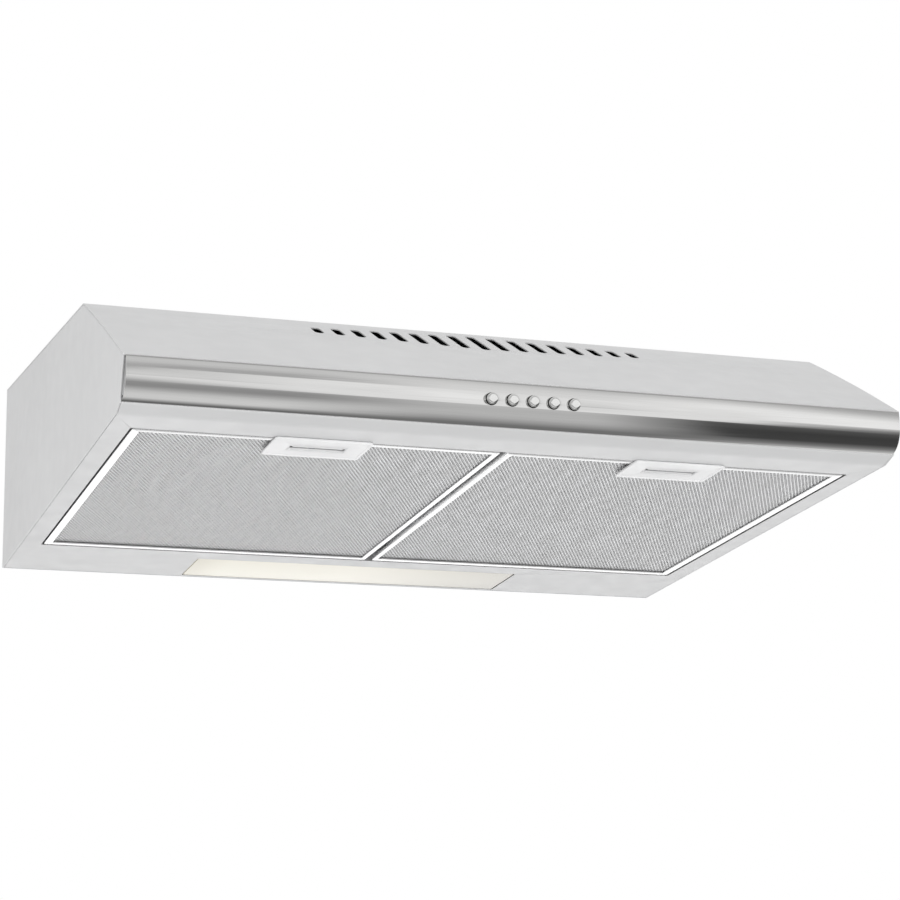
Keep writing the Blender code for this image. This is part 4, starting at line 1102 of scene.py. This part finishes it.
def mapped(tree, value, low, high, to_low=0.0, to_high=1.0):
    node = tree.nodes.new("ShaderNodeMapRange")
    for key, number in (("From Min", low), ("From Max", high), ("To Min", to_low), ("To Max", to_high)):
        node.inputs[key].default_value = number
    tree.links.new(value, node.inputs["Value"])
    return node.outputs["Result"]


def background(tree, colour, strength=1.0):
    node = tree.nodes.new("ShaderNodeBackground")
    if isinstance(colour, bpy.types.NodeSocket):
        tree.links.new(colour, node.inputs["Color"])
    else:
        node.inputs["Color"].default_value = colour
    node.inputs["Strength"].default_value = strength
    return node.outputs[0]


def mixed(tree, kind, factor, first, second):
    """A mix node of the given kind, which shows the second input where the factor is 1."""
    node = tree.nodes.new(kind)
    tree.links.new(factor, node.inputs[0])
    tree.links.new(first, node.inputs[1])
    tree.links.new(second, node.inputs[2])
    return node.outputs[0]


def studio_world():
    """White surroundings. Gloss alone sees a studio of grey bands, which change from left to right."""
    world = bpy.data.worlds.new("studio")
    bpy.context.scene.world = world
    world.use_nodes = True
    tree = world.node_tree
    tree.nodes.clear()
    split = tree.nodes.new("ShaderNodeSeparateXYZ")
    tree.links.new(tree.nodes.new("ShaderNodeTexCoord").outputs["Generated"], split.inputs["Vector"])
    forward = mapped(tree, split.outputs["Y"], -1.0, 1.0, 1.0, -1.0)
    turn = tree.nodes.new("ShaderNodeMath")
    turn.operation = "ARCTAN2"
    tree.links.new(split.outputs["Z"], turn.inputs[0])
    tree.links.new(forward, turn.inputs[1])
    around = mapped(tree, turn.outputs[0], -math.pi, math.pi)
    bands = band_ramp(tree, around, STUDIO_LEFT)
    for (start, end), right in zip(STUDIO_X, (STUDIO_MIDDLE, STUDIO_RIGHT)):
        share = mapped(tree, split.outputs["X"], start, end)
        bands = mixed(tree, "ShaderNodeMixRGB", share, bands, band_ramp(tree, around, right))
    soft = background(tree, (1, 1, 1, 1), AMBIENT)
    path = tree.nodes.new("ShaderNodeLightPath")
    lit = mixed(tree, "ShaderNodeMixShader", path.outputs["Is Glossy Ray"], soft, background(tree, bands))
    white = background(tree, (1, 1, 1, 1))
    seen = mixed(tree, "ShaderNodeMixShader", path.outputs["Is Camera Ray"], lit, white)
    tree.links.new(seen, tree.nodes.new("ShaderNodeOutputWorld").inputs["Surface"])


def area_light(name, place, target, size, power):
    """A soft light that gloss doesn't see."""
    light = bpy.data.lights.new(name, "AREA")
    light.shape = "RECTANGLE"
    light.size, light.size_y = size
    light.energy = power
    thing = bpy.data.objects.new(name, light)
    thing.location = place
    thing.rotation_euler = (Vector(target) - Vector(place)).to_track_quat("-Z", "Y").to_euler()
    thing.visible_glossy = False
    bpy.context.collection.objects.link(thing)


def floor():
    outline = circle((0, 0), FLOOR_RADIUS, 64)
    plane = loft("floor", [at_z(outline, FLOOR_Z - 0.01), at_z(outline, FLOOR_Z)])
    plane.data.materials.append(Nodes("floor", (0.86, 0.86, 0.86), 0.75).material)
    plane.visible_glossy = False


def camera():
    data = bpy.data.cameras.new("camera")
    data.sensor_width = SENSOR
    data.lens = CAMERA_LENS
    data.shift_y = CAMERA_SHIFT
    thing = bpy.data.objects.new("camera", data)
    bpy.context.collection.objects.link(thing)
    yaw = Matrix.Rotation(-math.radians(CAMERA_YAW), 4, "Z")
    pitch = Matrix.Rotation(math.radians(90 + CAMERA_PITCH), 4, "X")
    roll = Matrix.Rotation(math.radians(CAMERA_ROLL), 4, "Z")
    thing.matrix_world = Matrix.Translation(CAMERA_PLACE) @ yaw @ pitch @ roll
    bpy.context.scene.camera = thing


def main():
    dress_frame()
    canopy()
    underside()
    strip()
    for name in BUTTONS:
        button(name)
    for side in SIDES:
        side_panel(side)
        filter_frame(side)
        filter_mesh(side)
        padding(side)
        latch_plate(side)
        latch_slider(side)
        latch_spring(side)
        damper(side)
    lamp_cover()
    bulb()
    collar()
    grommet()
    floor()
    studio_world()
    for light in LIGHTS:
        area_light(*light)
    camera()
    bpy.context.scene.view_settings.view_transform = "Standard"


main()
